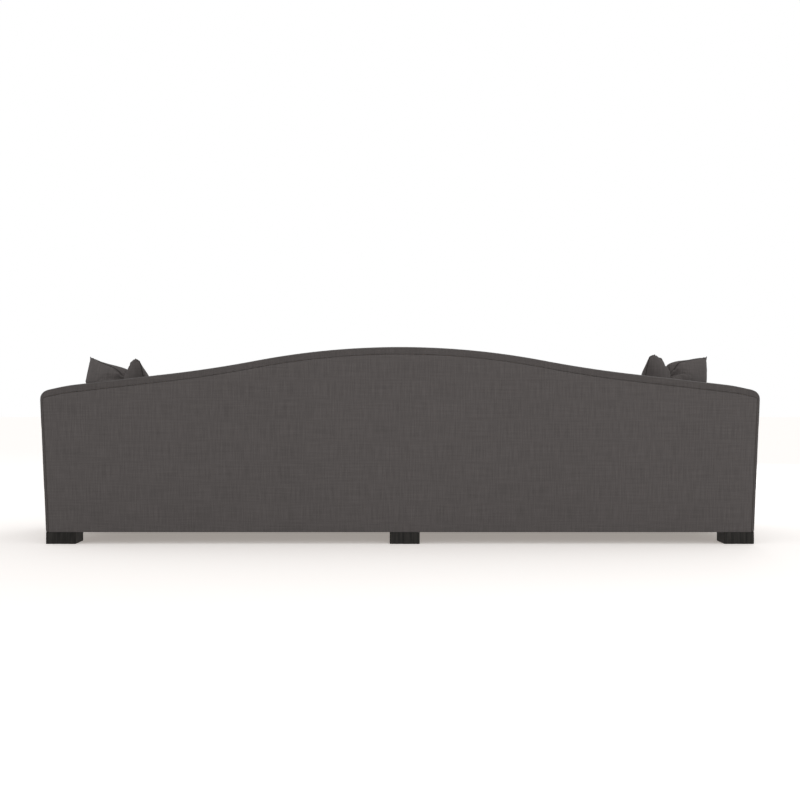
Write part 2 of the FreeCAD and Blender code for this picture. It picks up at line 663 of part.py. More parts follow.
def covers():
    """One skin of fabric over the whole sofa, parted along its seams."""
    low = s["foot_height"]
    open_below = 2 * s["fit_gap"] + 2 * s["front_edge_radius"]
    outer = upholstered_body(0, low, s["deck_top"])
    inner = upholstered_body(s["fabric"], low - open_below, s["deck_top"] - open_below)
    skin = outer.cut(inner)
    for hollow in seat_hollows():
        skin = skin.cut(hollow)
    skin = skin.cut(rear_panel(0, -1, s["frame_rear"]))
    pieces = []
    pieces.append(formed("outside_back_cover", rear_panel(s["fit_gap"], 0, s["fabric"], low)))
    front = s["front_y"]
    for side, hand in SIDES:
        skin = skin.cut(through_front(facing_panel(0, 0, hand), front - 1, front + s["fabric"]))
        panel = facing_panel(s["fit_gap"], low, hand)
        pieces.append(formed(f"arm_facing_{side}", through_front(panel, front, front + s["fabric"])))
    for side, (arm, outside) in arm_regions().items():
        pieces.append(formed(f"outside_arm_cover_{side}", only_solids(skin.common(outside))))
        skin = skin.cut(outside)
        pieces.append(formed(f"arm_cover_{side}", only_solids(skin.common(arm))))
        skin = skin.cut(arm)
    pieces.append(formed("inside_back_cover", only_solids(skin)))
    return outer, pieces


def padding():
    """Wadding and foam between the covers and the frame, parted where the arms meet the back."""
    inset = s["fabric"] + s["fit_gap"]
    solid = upholstered_body(inset, s["frame_bottom"], s["deck_top"])
    hollows = [
        raked(camel_outline(s["back_padding"]), s["frame_rear"], s["frame_front"] + s["web_thickness"]),
        rear_panel(0, -1, s["frame_rear"]),
        *seat_hollows(),
    ]
    arm_boxes = both_sides((s["web_inner"], s["post_front"], 0),
                           (s["frame_outer"] + s["liner"], FAR, s["arm_frame_top"]))
    hollows += [box.cut(back_slice(-FAR, s["frame_front"])) for box in arm_boxes]
    for hollow in hollows:
        solid = solid.cut(hollow)
    pieces = []
    for side, (arm, _) in arm_regions().items():
        pieces.append(formed(f"arm_pad_{side}", only_solids(solid.common(arm))))
        solid = solid.cut(arm)
    pieces.append(formed("inside_back_pad", only_solids(solid)))
    return pieces


def border_and_deck(holes):
    """The front border under the cushions, the deck behind it and the dust cover beneath."""
    gap, fabric = s["fit_gap"], s["fabric"]
    half = s["arm_inner"] - gap
    front, low, top = s["border_front"], s["foot_height"], s["deck_top"]
    rear = front + s["border_flap"]

    def rounded(inset, bottom, back, height):
        solid = block((-half, front + inset, bottom), (half, back, height))
        top_edge = [edge for edge in level_edges(solid, front + inset, bottom + 1) if edge.BoundBox.ZLength < 1]
        return solid.makeFillet(s["border_edge_radius"] - inset, top_edge)

    shell = rounded(0, low, rear, top).cut(rounded(fabric, 0, FAR, top - fabric))
    pad = rounded(fabric + gap, s["frame_bottom"], s["rail_front"], s["deck_pad_top"] - gap)
    pieces = [formed("front_border_cover", shell), formed("front_border_pad", pad)]
    face = f"{frame_face('layout.deck_bottom')} - sizes.web_thickness / layout.rake_cos"
    face_top = f"{frame_face('layout.deck_pad_top')} - sizes.web_thickness / layout.rake_cos"
    deck = [("layout.rail_front", "layout.deck_bottom"), (face, "layout.deck_bottom"),
            (face_top, "layout.deck_pad_top"), ("layout.rail_front", "layout.deck_pad_top")]
    width = "2 * (layout.arm_inner - sizes.fit_gap)"
    start = "-layout.arm_inner + sizes.fit_gap"
    pieces.append(sawn("deck_pad", "YZ_Plane", deck, width, (start, "0", "0")))
    flap_rear = "(layout.border_front + sizes.border_flap)"
    top_cloth = [(flap_rear, "layout.deck_pad_top"), (face_top, "layout.deck_pad_top"),
                 (face_top, "layout.deck_top"), (flap_rear, "layout.deck_top")]
    pieces.append(sawn("deck_cover", "YZ_Plane", top_cloth, width, (start, "0", "0")))
    inset = s["dust_cover_inset"]
    edge = side_x(low) - fabric - inset
    sheet = block((-edge, s["rail_front"] + inset, low), (edge, rear_y(low) - fabric - inset, s["frame_bottom"]))
    slits = [block((hole.BoundBox.XMin, hole.BoundBox.YMin, 0), (hole.BoundBox.XMax, hole.BoundBox.YMax, FAR))
             for hole in holes.Solids]
    pieces.append(formed("dust_cover", sheet.cut(Part.makeCompound(slits))))
    return pieces


def pulled_outline(width, depth, pulls, radius):
    """Rounded rectangle whose front, right, rear and left sides are drawn in at their middles."""
    half_width, half_depth = width / 2, depth / 2
    across, along = half_width - radius, half_depth - radius
    lean = radius * math.sqrt(0.5)
    sides = [
        ((-across, -half_depth), (0, -half_depth + pulls[0]), (across, -half_depth)),
        ((half_width, -along), (half_width - pulls[1], 0), (half_width, along)),
        ((across, half_depth), (0, half_depth - pulls[2]), (-across, half_depth)),
        ((-half_width, along), (-half_width + pulls[3], 0), (-half_width, -along)),
    ]
    corners = [(across + lean, -along - lean), (across + lean, along + lean),
               (-across - lean, along + lean), (-across - lean, -along - lean)]
    edges = []
    for index, side in enumerate(sides):
        following = sides[(index + 1) % 4][0]
        edges.append(Part.Arc(*(Vector(x, y, 0) for x, y in side)).toShape())
        edges.append(Part.Arc(*(Vector(x, y, 0) for x, y in (side[2], corners[index], following))).toShape())
    return Part.Face(Part.Wire(edges))


def crowned(span, rise, length, axis):
    """A solid that is flat below and crowned above in one arc across a span, extruded along an axis."""
    half = span / 2
    arc = Part.Arc(Vector(-half, 0, 0), Vector(0, 0, rise), Vector(half, 0, 0)).toShape()
    base = Part.makePolygon([Vector(half, 0, 0), Vector(half, 0, -FAR), Vector(-half, 0, -FAR), Vector(-half, 0, 0)])
    solid = Part.Face(Part.Wire([arc, *base.Edges])).translated(Vector(0, -length / 2, 0)).extrude(Vector(0, length, 0))
    if axis == "x":
        solid.rotate(Vector(0, 0, 0), Vector(0, 0, 1), 90)
    return solid


def cushion_depth():
    knee = s["deck_top"] + s["cushion_border"]
    return inside_face_y(knee) - s["cushion_back_gap"] - s["front_y"] - s["cushion_front_inset"]


def cushion_form(inset):
    """A boxed seat cushion: sides drawn in between its corners, and a top crowned both ways."""
    width, depth = s["cushion_width"] - 2 * inset, cushion_depth() - 2 * inset
    pull = s["cushion_pull"]
    outline = pulled_outline(width, depth, (pull, pull, pull, pull), s["cushion_corner_radius"] - inset)
    solid = outline.translated(Vector(0, 0, inset)).extrude(Vector(0, 0, s["cushion_height"]))
    rise = s["cushion_height"] - s["cushion_border"]
    for span, length, axis, share in ((width, 2 * depth, "y", 1.3), (depth, 2 * width, "x", 1)):
        crown = crowned(span + 2 * pull, share * rise, length, axis)
        crown.translate(Vector(0, 0, s["cushion_border"] - inset))
        solid = solid.common(crown)
    return solid


def cushions():
    places = {"left": -1, "centre": 0, "right": 1}
    middle_y = s["front_y"] + s["cushion_front_inset"] + cushion_depth() / 2
    outer = cushion_form(0)
    shell = outer.cut(cushion_form(s["fabric"]))
    core = cushion_form(s["fabric"] + s["fit_gap"])
    pieces = []
    for name, step in places.items():
        place = Vector(step * s["cushion_pitch"], middle_y, s["deck_top"])
        pieces.append(formed(f"seat_cushion_cover_{name}", shell.translated(place)))
        pieces.append(formed(f"seat_cushion_core_{name}", core.translated(place)))
    ends = {side: outer.translated(Vector(hand * s["cushion_pitch"], middle_y, s["deck_top"])) for side, hand in SIDES}
    return ends, pieces


def pillow_form(inset):
    """A knife-edged throw pillow, its top edge pressed in between two ears, leaning back."""
    side = s["pillow_side"] - 2 * inset
    half = s["pillow_thickness"] / 2 - inset
    flange = s["pillow_flange"] - inset
    pull = s["pillow_pull"]
    outline = pulled_outline(side, side, (pull, pull, s["pillow_chop"], pull), s["pillow_corner_radius"] - inset)
    span = side - 2 * pull
    solid = outline.translated(Vector(0, 0, -half)).extrude(Vector(0, 0, 2 * half))
    for axis in "xy":
        lens = crowned(span, half - flange, 2 * side, axis)
        lens.translate(Vector(0, 0, flange))
        turned = lens.copy()
        turned.rotate(Vector(0, 0, 0), Vector(1 if axis == "y" else 0, 1 if axis == "x" else 0, 0), 180)
        solid = solid.common(lens.common(turned))
    if not inset:
        solid = solid.fuse(outline.translated(Vector(0, 0, -flange)).extrude(Vector(0, 0, 2 * flange)))
    solid.rotate(Vector(0, 0, 0), Vector(1, 0, 0), 90 - s["pillow_lean"])
    return solid


def settle(form, seat, walls, hand):
    """Where a leaning pillow comes to rest: on the cushion and against the arm, a fit gap clear."""
    gap = s["fit_gap"]
    outward = Vector(hand, 0, 0)
    lean = math.tan(math.radians(s["pillow_lean"]))
    reach = s["pillow_side"] / 2
    place = Vector(hand * (s["arm_inner"] - reach), inside_face_y(s["deck_top"]) - reach,
                   s["deck_top"] + s["cushion_height"] + reach + s["pillow_thickness"] / 2)
    for _ in range(40):
        above = form.translated(place).distToShape(seat)[0] - gap
        if above < gap / 10:
            break
        drop = min(above, s["pillow_thickness"] / 5)
        place = place + Vector(0, 0, -drop) - outward * (drop * lean)
        beside = form.translated(place).distToShape(walls)[0] - gap
        if beside > 0:
            place = place + outward * beside
    return place


def pillows(seats, walls):
    pieces = []
    for side, hand in SIDES:
        forms = []
        for inset in (0, s["fabric"], s["fabric"] + s["fit_gap"]):
            form = pillow_form(inset)
            form.rotate(Vector(0, 0, 0), Vector(0, 0, 1), -hand * s["pillow_turn"])
            forms.append(form)
        place = settle(forms[0], seats[side], walls, hand)
        forms = [form.translated(place) for form in forms]
        pieces.append(formed(f"pillow_cover_{side}", forms[0].cut(forms[1])))
        pieces.append(formed(f"pillow_insert_{side}", forms[2]))
    return pieces


def liner_panel():
    return formed("back_liner", rear_panel(s["fit_gap"], s["fabric"], s["frame_rear"], s["frame_bottom"]))


feet = square_feet()
holes = bolt_holes(feet)
bolts(feet)
parts = seat_frame(holes)
parts += back_frame()
uprights = [part.Shape for part in parts if part.Label == "back_uprights"][0]
parts.append(formed("seat_webbing", seat_webbing(uprights)))
parts.append(formed("back_webbing", back_webbing()))
parts.append(liner_panel())
parts += arm_frames()
parts += padding()
outside, cover_pieces = covers()
parts += cover_pieces
parts += border_and_deck(holes)
seats, cushion_pieces = cushions()
parts += cushion_pieces
parts += pillows(seats, outside)
parts += [doc.getObject(name) for name, _, _ in feet]
parts.append(doc.getObject("foot_bolts"))

doc.recompute()
for item in doc.Objects:
    if "Invalid" in item.State or "Error" in item.State:
        raise RuntimeError(f"{item.Label} failed: {item.State}")
for part in parts:
    if part.Shape.isNull() or not part.Shape.isValid():
        raise RuntimeError(f"{part.Label} has no valid shape")

os.makedirs("parts", exist_ok=True)
for part in parts:
    part.Shape.exportStep(f"parts/{part.Label}.step")
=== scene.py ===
"""Camelback sofa: padding, fabric, seams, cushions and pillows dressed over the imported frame."""

import json
import math

import bmesh
import bpy
from mathutils import Matrix, Vector, noise
from mathutils.bvhtree import BVHTree


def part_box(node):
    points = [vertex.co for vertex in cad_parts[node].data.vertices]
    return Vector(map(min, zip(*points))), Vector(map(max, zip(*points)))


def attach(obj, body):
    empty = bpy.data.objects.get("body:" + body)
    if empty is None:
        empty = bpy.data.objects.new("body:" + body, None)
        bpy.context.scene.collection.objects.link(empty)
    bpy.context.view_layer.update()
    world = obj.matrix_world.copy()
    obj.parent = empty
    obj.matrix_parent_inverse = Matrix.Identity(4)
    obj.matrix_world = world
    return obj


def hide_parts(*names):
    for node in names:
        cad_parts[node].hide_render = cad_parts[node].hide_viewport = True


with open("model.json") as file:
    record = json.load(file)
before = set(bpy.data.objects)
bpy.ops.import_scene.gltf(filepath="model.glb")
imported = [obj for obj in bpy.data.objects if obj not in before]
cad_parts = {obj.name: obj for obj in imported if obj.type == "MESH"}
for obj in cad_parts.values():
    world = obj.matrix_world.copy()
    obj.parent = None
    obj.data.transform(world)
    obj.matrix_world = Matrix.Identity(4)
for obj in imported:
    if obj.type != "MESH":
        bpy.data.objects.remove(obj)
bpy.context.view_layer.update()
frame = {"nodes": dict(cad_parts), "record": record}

# All lengths are in metres. Left is -X, the front is -Y, and the photograph looks at the rear.

# The whole sofa
HALF_WIDTH = 1.524
FRONT = -0.470
REAR = 0.470
HEIGHT = 0.840
BASE = 0.050  # underside of the upholstery
DECK = 0.280  # top of the deck, under the seat cushions
CUSHION_SIDE = 0.132
KNEE = DECK + CUSHION_SIDE  # where the inside back meets the seat

# The camel line: crown, hollow sweep, ease and shoulder are arcs, and slopes are in degrees
CROWN_RADIUS = 3.283
CROWN_SLOPE = 10.74
SWEEP_RADIUS = 5.230
SHOULDER_SLOPE = 6.54
EASE_RADIUS = 0.700
TIP_SLOPE = 12.5
TIP_RUN = 0.037
SHOULDER_RADIUS = 0.038

# The back
RAKE = math.radians(4)  # lean of the outside back
PITCH = math.radians(14)  # lean of the inside back
SIDE_LEAN = math.radians(1.4)
REAR_ROUND = 0.014
FRONT_ROUND = 0.028
ROLL = 0.055  # radius of the inside back's top and ends
ROLL_DROP = 0.005
END_THICKNESS = 0.110
TOP_THICKNESS = 0.132
MID_HEIGHT = 0.400
CREASE = (-0.165, -0.075)  # depths, from the outside back, of the hollow before the roll
CREASE_LOW = 0.620
BACK_SWELL = 0.009
BACK_SWELL_TOP = 0.830
BACK_RIPPLE = 0.0012

# The arms
ARM_INNER = 1.359
ARM_TOP = 0.645
ARM_OUTER_ROUND = 0.045
ARM_INNER_ROUND = 0.035
ARM_FRONT_ROUND = 0.020
ARM_SWELL = 0.003
ARM_RIPPLE = 0.001
FACING_INSET = 0.024

# Seams and the panels set in between them
TOP_SEAM = 0.028  # below the camel line
SIDE_SEAM = 0.015  # in from an edge
ARM_SEAM = 0.593  # height of the outside arm's top seam
SEAM_GAP = 0.0008
RECESS = 0.007
PANEL_DEPTH = RECESS - 0.001
PANEL_CROWN = 0.0008
OUTSIDE_BACK_CROWN = 0.0012
PANEL_LIFT = 0.0005  # of a panel's lower edge over the base
BORDER_GAP = 0.0015
BORDER_DEPTH = 0.070
BORDER_CROWN = 0.004
BORDER_ROUND = 0.010

# Seat cushions
CUSHION_PRESSURE = 6.0
CUSHION_SWELL = (0.005, 0.006, 0.012)  # the most that stuffing moves the cover along X, Y and Z
CUSHION_DRAW = 0.004  # how far the seams draw in between the corners
CUSHION_CORNER = 0.042
CUSHION_DIMPLE = 0.0035  # broad unevenness of the top
CUSHION_WRINKLE = 0.0012  # fine unevenness all over
CUSHION_CLEARANCE = 0.0004
CUSHION_SEAM = 0.0026
BOTTOM_SEAM = 0.012  # above the cushion's underside
TOP_SEAM_RISE = 0.004  # above the boxing
SEAM_REACH = 0.010  # how far outside its seam a point is taken on to the cover

# Throw pillows: one bag is blown up, then drawn out to each pillow's own four corners
PILLOW_CUT = 0.430
PILLOW_HALF = 0.066
PILLOW_NOTCH = -0.050
PILLOW_NOTCH_REACH = 0.015
PILLOW_CHOP = 0.050
PILLOW_PRESSURE = 7.0
PILLOW_FRAMES = 40
PILLOW_STEP = 0.0065
PILLOW_LEAN = math.radians(27)
PILLOW_SEAM = 0.0022
PILLOW_RUMPLE = 0.0015
PILLOW_SLUMP = 0.022  # sideways over the arm, and more towards the arm's outside
SLUMP_RISE = (0.580, 0.700)  # heights between which it sets in
SLUMP_TIP, SLUMP_FADE = 0.806, 0.110  # height where it ends, over this much
SLUMP_REACH = (1.22, 1.40)
INNER_EAR, EAR_REACH = -0.09, 0.10  # across the pillow, from its middle
OUTER_EAR, LIFT_RUN = 0.205, 0.220
PILLOWS = {
    "left": {
        "centre": (1.210, -0.0033, 0.6245), "turn": math.radians(44),
        "slump": 0.034, "lift": 0.029, "drift": 0.028,
        "corners": ((0.203, 0.211), (-0.203, 0.206), (0.203, -0.200), (-0.203, -0.203)),
    },
    "right": {
        "centre": (1.2353, -0.0033, 0.6245), "turn": math.radians(50),
        "slump": 0.052, "lift": 0.013, "drift": 0.0,
        "corners": ((0.209, 0.211), (-0.201, 0.186), (0.208, -0.200), (-0.203, -0.203)),
    },
}

HANDS = (("left", -1), ("right", 1))
VOXEL = 0.0065
CUSHION_VOXEL = 0.011
WELD = 1e-5  # points closer than this are one


# ---- The sofa's lines


def sine(degrees):
    """The sine of an angle in degrees."""
    return math.sin(math.radians(degrees))


def cosine(degrees):
    """The cosine of an angle in degrees."""
    return math.cos(math.radians(degrees))


CROWN_CENTRE = (0.0, HEIGHT - CROWN_RADIUS)
SWEEP_CENTRE = (
    (CROWN_RADIUS + SWEEP_RADIUS) * sine(CROWN_SLOPE),
    CROWN_CENTRE[1] + (CROWN_RADIUS + SWEEP_RADIUS) * cosine(CROWN_SLOPE),
)
CORNER_X = HALF_WIDTH - SHOULDER_RADIUS
RUN_START = (
    SWEEP_CENTRE[0] - SWEEP_RADIUS * sine(SHOULDER_SLOPE),
    SWEEP_CENTRE[1] - SWEEP_RADIUS * cosine(SHOULDER_SLOPE),
)
TIP_X = (EASE_RADIUS - SHOULDER_RADIUS) * sine(TIP_SLOPE) + TIP_RUN * cosine(TIP_SLOPE)
RUN_LENGTH = (CORNER_X - RUN_START[0] - TIP_X + EASE_RADIUS * sine(SHOULDER_SLOPE)) / cosine(SHOULDER_SLOPE)
EASE_CENTRE = (
    RUN_START[0] + RUN_LENGTH * cosine(SHOULDER_SLOPE) - EASE_RADIUS * sine(SHOULDER_SLOPE),
    RUN_START[1] - RUN_LENGTH * sine(SHOULDER_SLOPE) - EASE_RADIUS * cosine(SHOULDER_SLOPE),
)
CORNER = (
    CORNER_X,
    EASE_CENTRE[1] + (EASE_RADIUS - SHOULDER_RADIUS) * cosine(TIP_SLOPE) - TIP_RUN * sine(TIP_SLOPE),
)
BACK_Y = REAR - REAR_ROUND * (1 - math.cos(RAKE)) - (HEIGHT - REAR_ROUND) * math.sin(RAKE)
BACK_Z = (HEIGHT - FRONT_ROUND) * (1 - math.cos(RAKE)) - (END_THICKNESS - FRONT_ROUND) * math.sin(RAKE)
RAKED = Matrix.Translation((0, BACK_Y, BACK_Z)) @ Matrix.Rotation(-RAKE, 4, "X")


def rear_y(z):
    """Depth of the outside back's face at a height."""
    return BACK_Y + (z - BACK_Z) * math.tan(RAKE)


def inside_y(z):
    """Depth of the inside back's face at a height."""
    return rear_y(HEIGHT) - TOP_THICKNESS - (HEIGHT - z) * math.tan(PITCH)


ROLL_Z = HEIGHT - ROLL_DROP - ROLL * (1 - math.sin(PITCH)) - (HEIGHT - ROLL) * math.cos(PITCH)
PITCHED = Matrix.Translation((0, inside_y(ROLL_Z), ROLL_Z)) @ Matrix.Rotation(-PITCH, 4, "X")


def side_x(z, inset=0.0):
    """Half the width of the back at a height, inset from its leaning side."""
    reach = (SHOULDER_RADIUS - inset) / math.cos(SIDE_LEAN)
    return CORNER[0] + reach + (z - CORNER[1]) * math.tan(SIDE_LEAN)


def camel_half(inset=0.0, drop=0.0, step=0.015):
    """Points (x, z) of the camel line from the middle to the shoulder, inset and dropped."""
    arcs = (
        (CROWN_CENTRE, CROWN_RADIUS - inset, 0.0, CROWN_SLOPE),
        (SWEEP_CENTRE, -SWEEP_RADIUS - inset, CROWN_SLOPE, SHOULDER_SLOPE),
        (EASE_CENTRE, EASE_RADIUS - inset, SHOULDER_SLOPE, TIP_SLOPE),
        (CORNER, SHOULDER_RADIUS - inset, TIP_SLOPE, 90 + math.degrees(SIDE_LEAN)),
    )
    points = []
    for (centre_x, centre_z), radius, first, last in arcs:
        count = max(4, math.ceil(abs(radius * math.radians(last - first)) / step))
        for index in range(count + 1):
            slope = first + (last - first) * index / count
            points.append((centre_x + radius * sine(slope), centre_z - drop + radius * cosine(slope)))
    return points


def mirrored(half):
    """A half outline, from the middle to its right foot, with its left half before it."""
    return [(-x, z) for x, z in reversed(half[1:])] + half


def camel_line(side=None):
    """The whole outline of the back, or of the part of it that ends upright at a side."""
    half = camel_half()
    if side is None:
        return mirrored(half + [(side_x(0.0), 0.0)])
    half = [point for point in half if point[0] < side - 0.004]
    last_x, last_z = half[-1]
    corner = last_z - (side - last_x) * math.tan(math.radians(SHOULDER_SLOPE))
    return mirrored(half + [(side, corner), (side, 0.0)])


def arm_line(hand, inset=0.0, foot=BASE, count=8):
    """Cross-section (x, z) of an arm, inset: leaning outside, rounded top, upright inside."""
    top = ARM_TOP - inset
    outer_round, inner_round = ARM_OUTER_ROUND - inset, ARM_INNER_ROUND - inset
    centre_z = top - outer_round
    centre_x = side_x(centre_z, inset) - outer_round / math.cos(SIDE_LEAN)
    points = [(side_x(foot, inset), foot)]
    for index in range(count + 1):
        turn = (90 + math.degrees(SIDE_LEAN)) * (count - index) / count
        points.append((centre_x + outer_round * sine(turn), centre_z + outer_round * cosine(turn)))
    inner = ARM_INNER + inset
    for index in range(count + 1):
        turn = 90 * index / count
        points.append((inner + inner_round * (1 - sine(turn)), top - inner_round * (1 - cosine(turn))))
    points.append((inner, foot))
    return [(hand * x, z) for x, z in points]


# ---- Making shapes


def prism(points, rear, front, place=Matrix.Identity(4)):
    """Extrude an outline in the XZ plane from one depth to another, as a closed shape."""
    shape = bmesh.new()
    face = shape.faces.new([shape.verts.new((x, rear, z)) for x, z in points])
    moved = bmesh.ops.extrude_face_region(shape, geom=[face])["geom"]
    corners = [item for item in moved if isinstance(item, bmesh.types.BMVert)]
    bmesh.ops.translate(shape, vec=(0, front - rear, 0), verts=corners)
    if len(shape.faces) == len(points) + 1:
        shape.faces.new([vert for vert in shape.verts if vert not in corners])
    bmesh.ops.transform(shape, matrix=place, verts=shape.verts)
    bmesh.ops.recalc_face_normals(shape, faces=shape.faces)
    return shape


def rounded(shape, wanted, radius, segments):
    """Round the edges that a test picks by their two ends."""
    edges = [edge for edge in shape.edges if wanted(*(vert.co for vert in edge.verts))]
    bmesh.ops.bevel(shape, geom=edges, offset=radius, offset_type="OFFSET", affect="EDGES",
                    segments=segments, profile=0.5, material=-1, clamp_overlap=False)


def at_depth(depth, lowest):
    """A test for edges that lie at one depth and aren't along the foot."""
    def wanted(a, b):
        level = abs(a.y - depth) < WELD and abs(b.y - depth) < WELD
        return level and max(a.z, b.z) > lowest + 1e-4
    return wanted


def cut_flat(shape, point, normal):
    """Cut a closed shape by a plane, drop what the normal points at, and close it."""
    everything = list(shape.verts) + list(shape.edges) + list(shape.faces)
    cut = bmesh.ops.bisect_plane(shape, geom=everything, dist=1e-6, plane_co=point, plane_no=normal,
                                 clear_outer=True)["geom_cut"]
    edges = [item for item in cut if isinstance(item, bmesh.types.BMEdge)]
    bmesh.ops.contextual_create(shape, geom=edges)


def gridded(shape, axis, low, high, step):
    """Cut a shape across one axis at even steps, so that it can take a gentle form."""
    normal = Vector((axis == "x", axis == "y", axis == "z"))
    count = max(1, round((high - low) / step))
    for index in range(1, count):
        where = normal * (low + (high - low) * index / count)
        everything = list(shape.verts) + list(shape.edges) + list(shape.faces)
        bmesh.ops.bisect_plane(shape, geom=everything, dist=1e-6, plane_co=where, plane_no=normal)


def mesh_object(name, shape):
    """A shape as an object of the scene."""
    mesh = bpy.data.meshes.new(name)
    shape.to_mesh(mesh)
    shape.free()
    piece = bpy.data.objects.new(name, mesh)
    bpy.context.scene.collection.objects.link(piece)
    return piece


def joined(name, shapes):
    """Several closed shapes in one object."""
    whole = bmesh.new()
    for shape in shapes:
        mesh = bpy.data.meshes.new("part")
        shape.to_mesh(mesh)
        shape.free()
        whole.from_mesh(mesh)
        bpy.data.meshes.remove(mesh)
    return mesh_object(name, whole)


def applied(piece):
    """Replace a piece's mesh by what its modifiers make of it."""
    mesh = bpy.data.meshes.new_from_object(piece.evaluated_get(bpy.context.evaluated_depsgraph_get()))
    piece.modifiers.clear()
    old, piece.data = piece.data, mesh
    bpy.data.meshes.remove(old)
    return piece


def remeshed(piece, voxel):
    """Give a piece one even skin over all of its parts."""
    remesh = piece.modifiers.new("even_mesh", "REMESH")
    remesh.mode = "VOXEL"
    remesh.voxel_size = voxel
    return applied(piece)


def carved(piece, cutter):
    """Cut a recess into a piece and throw the cutter away."""
    cut = piece.modifiers.new("recess", "BOOLEAN")
    cut.operation = "DIFFERENCE"
    cut.solver = "MANIFOLD"
    cut.object = cutter
    applied(piece)
    mesh = cutter.data
    bpy.data.objects.remove(cutter)
    bpy.data.meshes.remove(mesh)


def smoothed(piece, rounds, wanted=None):
    """Even out a piece's skin, all over or where a test of the place says so."""
    shape = bmesh.new()
    shape.from_mesh(piece.data)
    verts = [vert for vert in shape.verts if wanted is None or wanted(vert.co)]
    for _ in range(rounds):
        bmesh.ops.smooth_vert(shape, verts=verts, factor=0.5,
                              use_axis_x=True, use_axis_y=True, use_axis_z=True)
    shape.to_mesh(piece.data)
    shape.free()


def moved_by(piece, shift):
    """Move each point by what a rule gives for its place and normal."""
    shape = bmesh.new()
    shape.from_mesh(piece.data)
    shape.normal_update()
    steps = [shift(vert.co, vert.normal) for vert in shape.verts]
    for vert, step in zip(shape.verts, steps):
        vert.co += step
    shape.to_mesh(piece.data)
    shape.free()


def outer_skin(node_name, name):
    """A copy of a hollow node's outer surface."""
    shape = bmesh.new()
    shape.from_mesh(frame["nodes"][node_name].data)
    bmesh.ops.remove_doubles(shape, verts=shape.verts, dist=WELD)
    left = set(shape.verts)
    islands = []
    while left:
        island, border = set(), [left.pop()]
        while border:
            vert = border.pop()
            island.add(vert)
            for edge in vert.link_edges:
                other = edge.other_vert(vert)
                if other in left:
                    left.discard(other)
                    border.append(other)
        islands.append(island)
    widest = max(islands, key=lambda island: max(v.co.x for v in island) - min(v.co.x for v in island))
    bmesh.ops.delete(shape, geom=[vert for vert in shape.verts if vert not in widest], context="VERTS")
    bmesh.ops.recalc_face_normals(shape, faces=shape.faces)
    return mesh_object(name, shape)


def blown(piece, pressure, frames, held=None):
    """Blow a closed fabric form up from inside, as its stuffing does. The held points stay put."""
    cloth = piece.modifiers.new("stuffing", "CLOTH")
    settings = cloth.settings
    settings.quality = 4
    settings.mass = 0.0015
    settings.air_damping = 0.8
    settings.tension_stiffness = 15
    settings.compression_stiffness = 15
    settings.shear_stiffness = 5
    settings.bending_stiffness = 0.5
    settings.use_pressure = True
    settings.uniform_pressure_force = pressure
    settings.effector_weights.gravity = 0
    if held:
        settings.vertex_group_mass = held
        settings.pin_stiffness = 1.0
    cloth.collision_settings.use_collision = False
    cloth.point_cache.frame_start = 1
    cloth.point_cache.frame_end = frames
    scene = bpy.context.scene
    for number in range(1, frames + 1):
        scene.frame_set(number)
    mesh = bpy.data.meshes.new_from_object(piece.evaluated_get(bpy.context.evaluated_depsgraph_get()))
    piece.modifiers.clear()
    piece.shape_key_clear()
    piece.animation_data_clear()
    old, piece.data = piece.data, mesh
    bpy.data.meshes.remove(old)
    scene.frame_set(1)


def stuffed(piece, pressure, caps, frames=16):
    """Swell a cushion, no further along each axis than its caps."""
    rest = [vert.co.copy() for vert in piece.data.vertices]
    blown(piece, pressure, frames)
    for vert, start in zip(piece.data.vertices, rest):
        step = vert.co - start
        vert.co = start + Vector(max(-cap, min(cap, part)) for part, cap in zip(step, caps))


def search_tree(piece):
    """A tree that finds the nearest place on a piece."""
    shape = bmesh.new()
    shape.from_mesh(piece.data)
    tree = BVHTree.FromBMesh(shape)
    shape.free()
    return tree


def kept_clear(piece, others, gap=0.0015, reach=0.09):
    """Flatten a soft piece where it leans on others."""
    for other in others:
        tree = search_tree(other)
        for vert in piece.data.vertices:
            place, normal, _, away = tree.find_nearest(vert.co)
            if away < reach and (vert.co - place).dot(normal) < gap:
                vert.co = place + normal * gap


def surface_path(piece, points, lift=0.0002):
    """Points moved on to the nearest place on a piece."""
    tree = search_tree(piece)
    path = []
    for point in points:
        place, normal, _, _ = tree.find_nearest(point)
        path.append(place + normal * lift)
    return path


def seam_cord(name, path, radius):
    """A narrow raised seam along a closed path."""
    curve = bpy.data.curves.new(name, "CURVE")
    curve.dimensions = "3D"
    curve.bevel_depth = radius
    curve.bevel_resolution = 2
    line = curve.splines.new("POLY")
    line.points.add(len(path) - 1)
    for point, place in zip(line.points, path):
        point.co = (*place, 1.0)
    line.use_cyclic_u = True
    source = bpy.data.objects.new("seam_source", curve)
    bpy.context.scene.collection.objects.link(source)
    mesh = bpy.data.meshes.new_from_object(source.evaluated_get(bpy.context.evaluated_depsgraph_get()))
    bpy.data.objects.remove(source)
    bpy.data.curves.remove(curve)
    mesh.name = name
    seam = bpy.data.objects.new(name, mesh)
    bpy.context.scene.collection.objects.link(seam)
    return seam


def ease(value, low, high):
    """0 below low, 1 above high and smooth between."""
    share = min(1.0, max(0.0, (value - low) / (high - low)))
    return share * share * (3 - 2 * share)


# ---- Fabric and wood


def node(tree, kind, at, **values):
    """A new shader node, with its settings."""
    made = tree.nodes.new(kind)
    made.location = at
    for name, value in values.items():
        setattr(made, name, value)
    return made


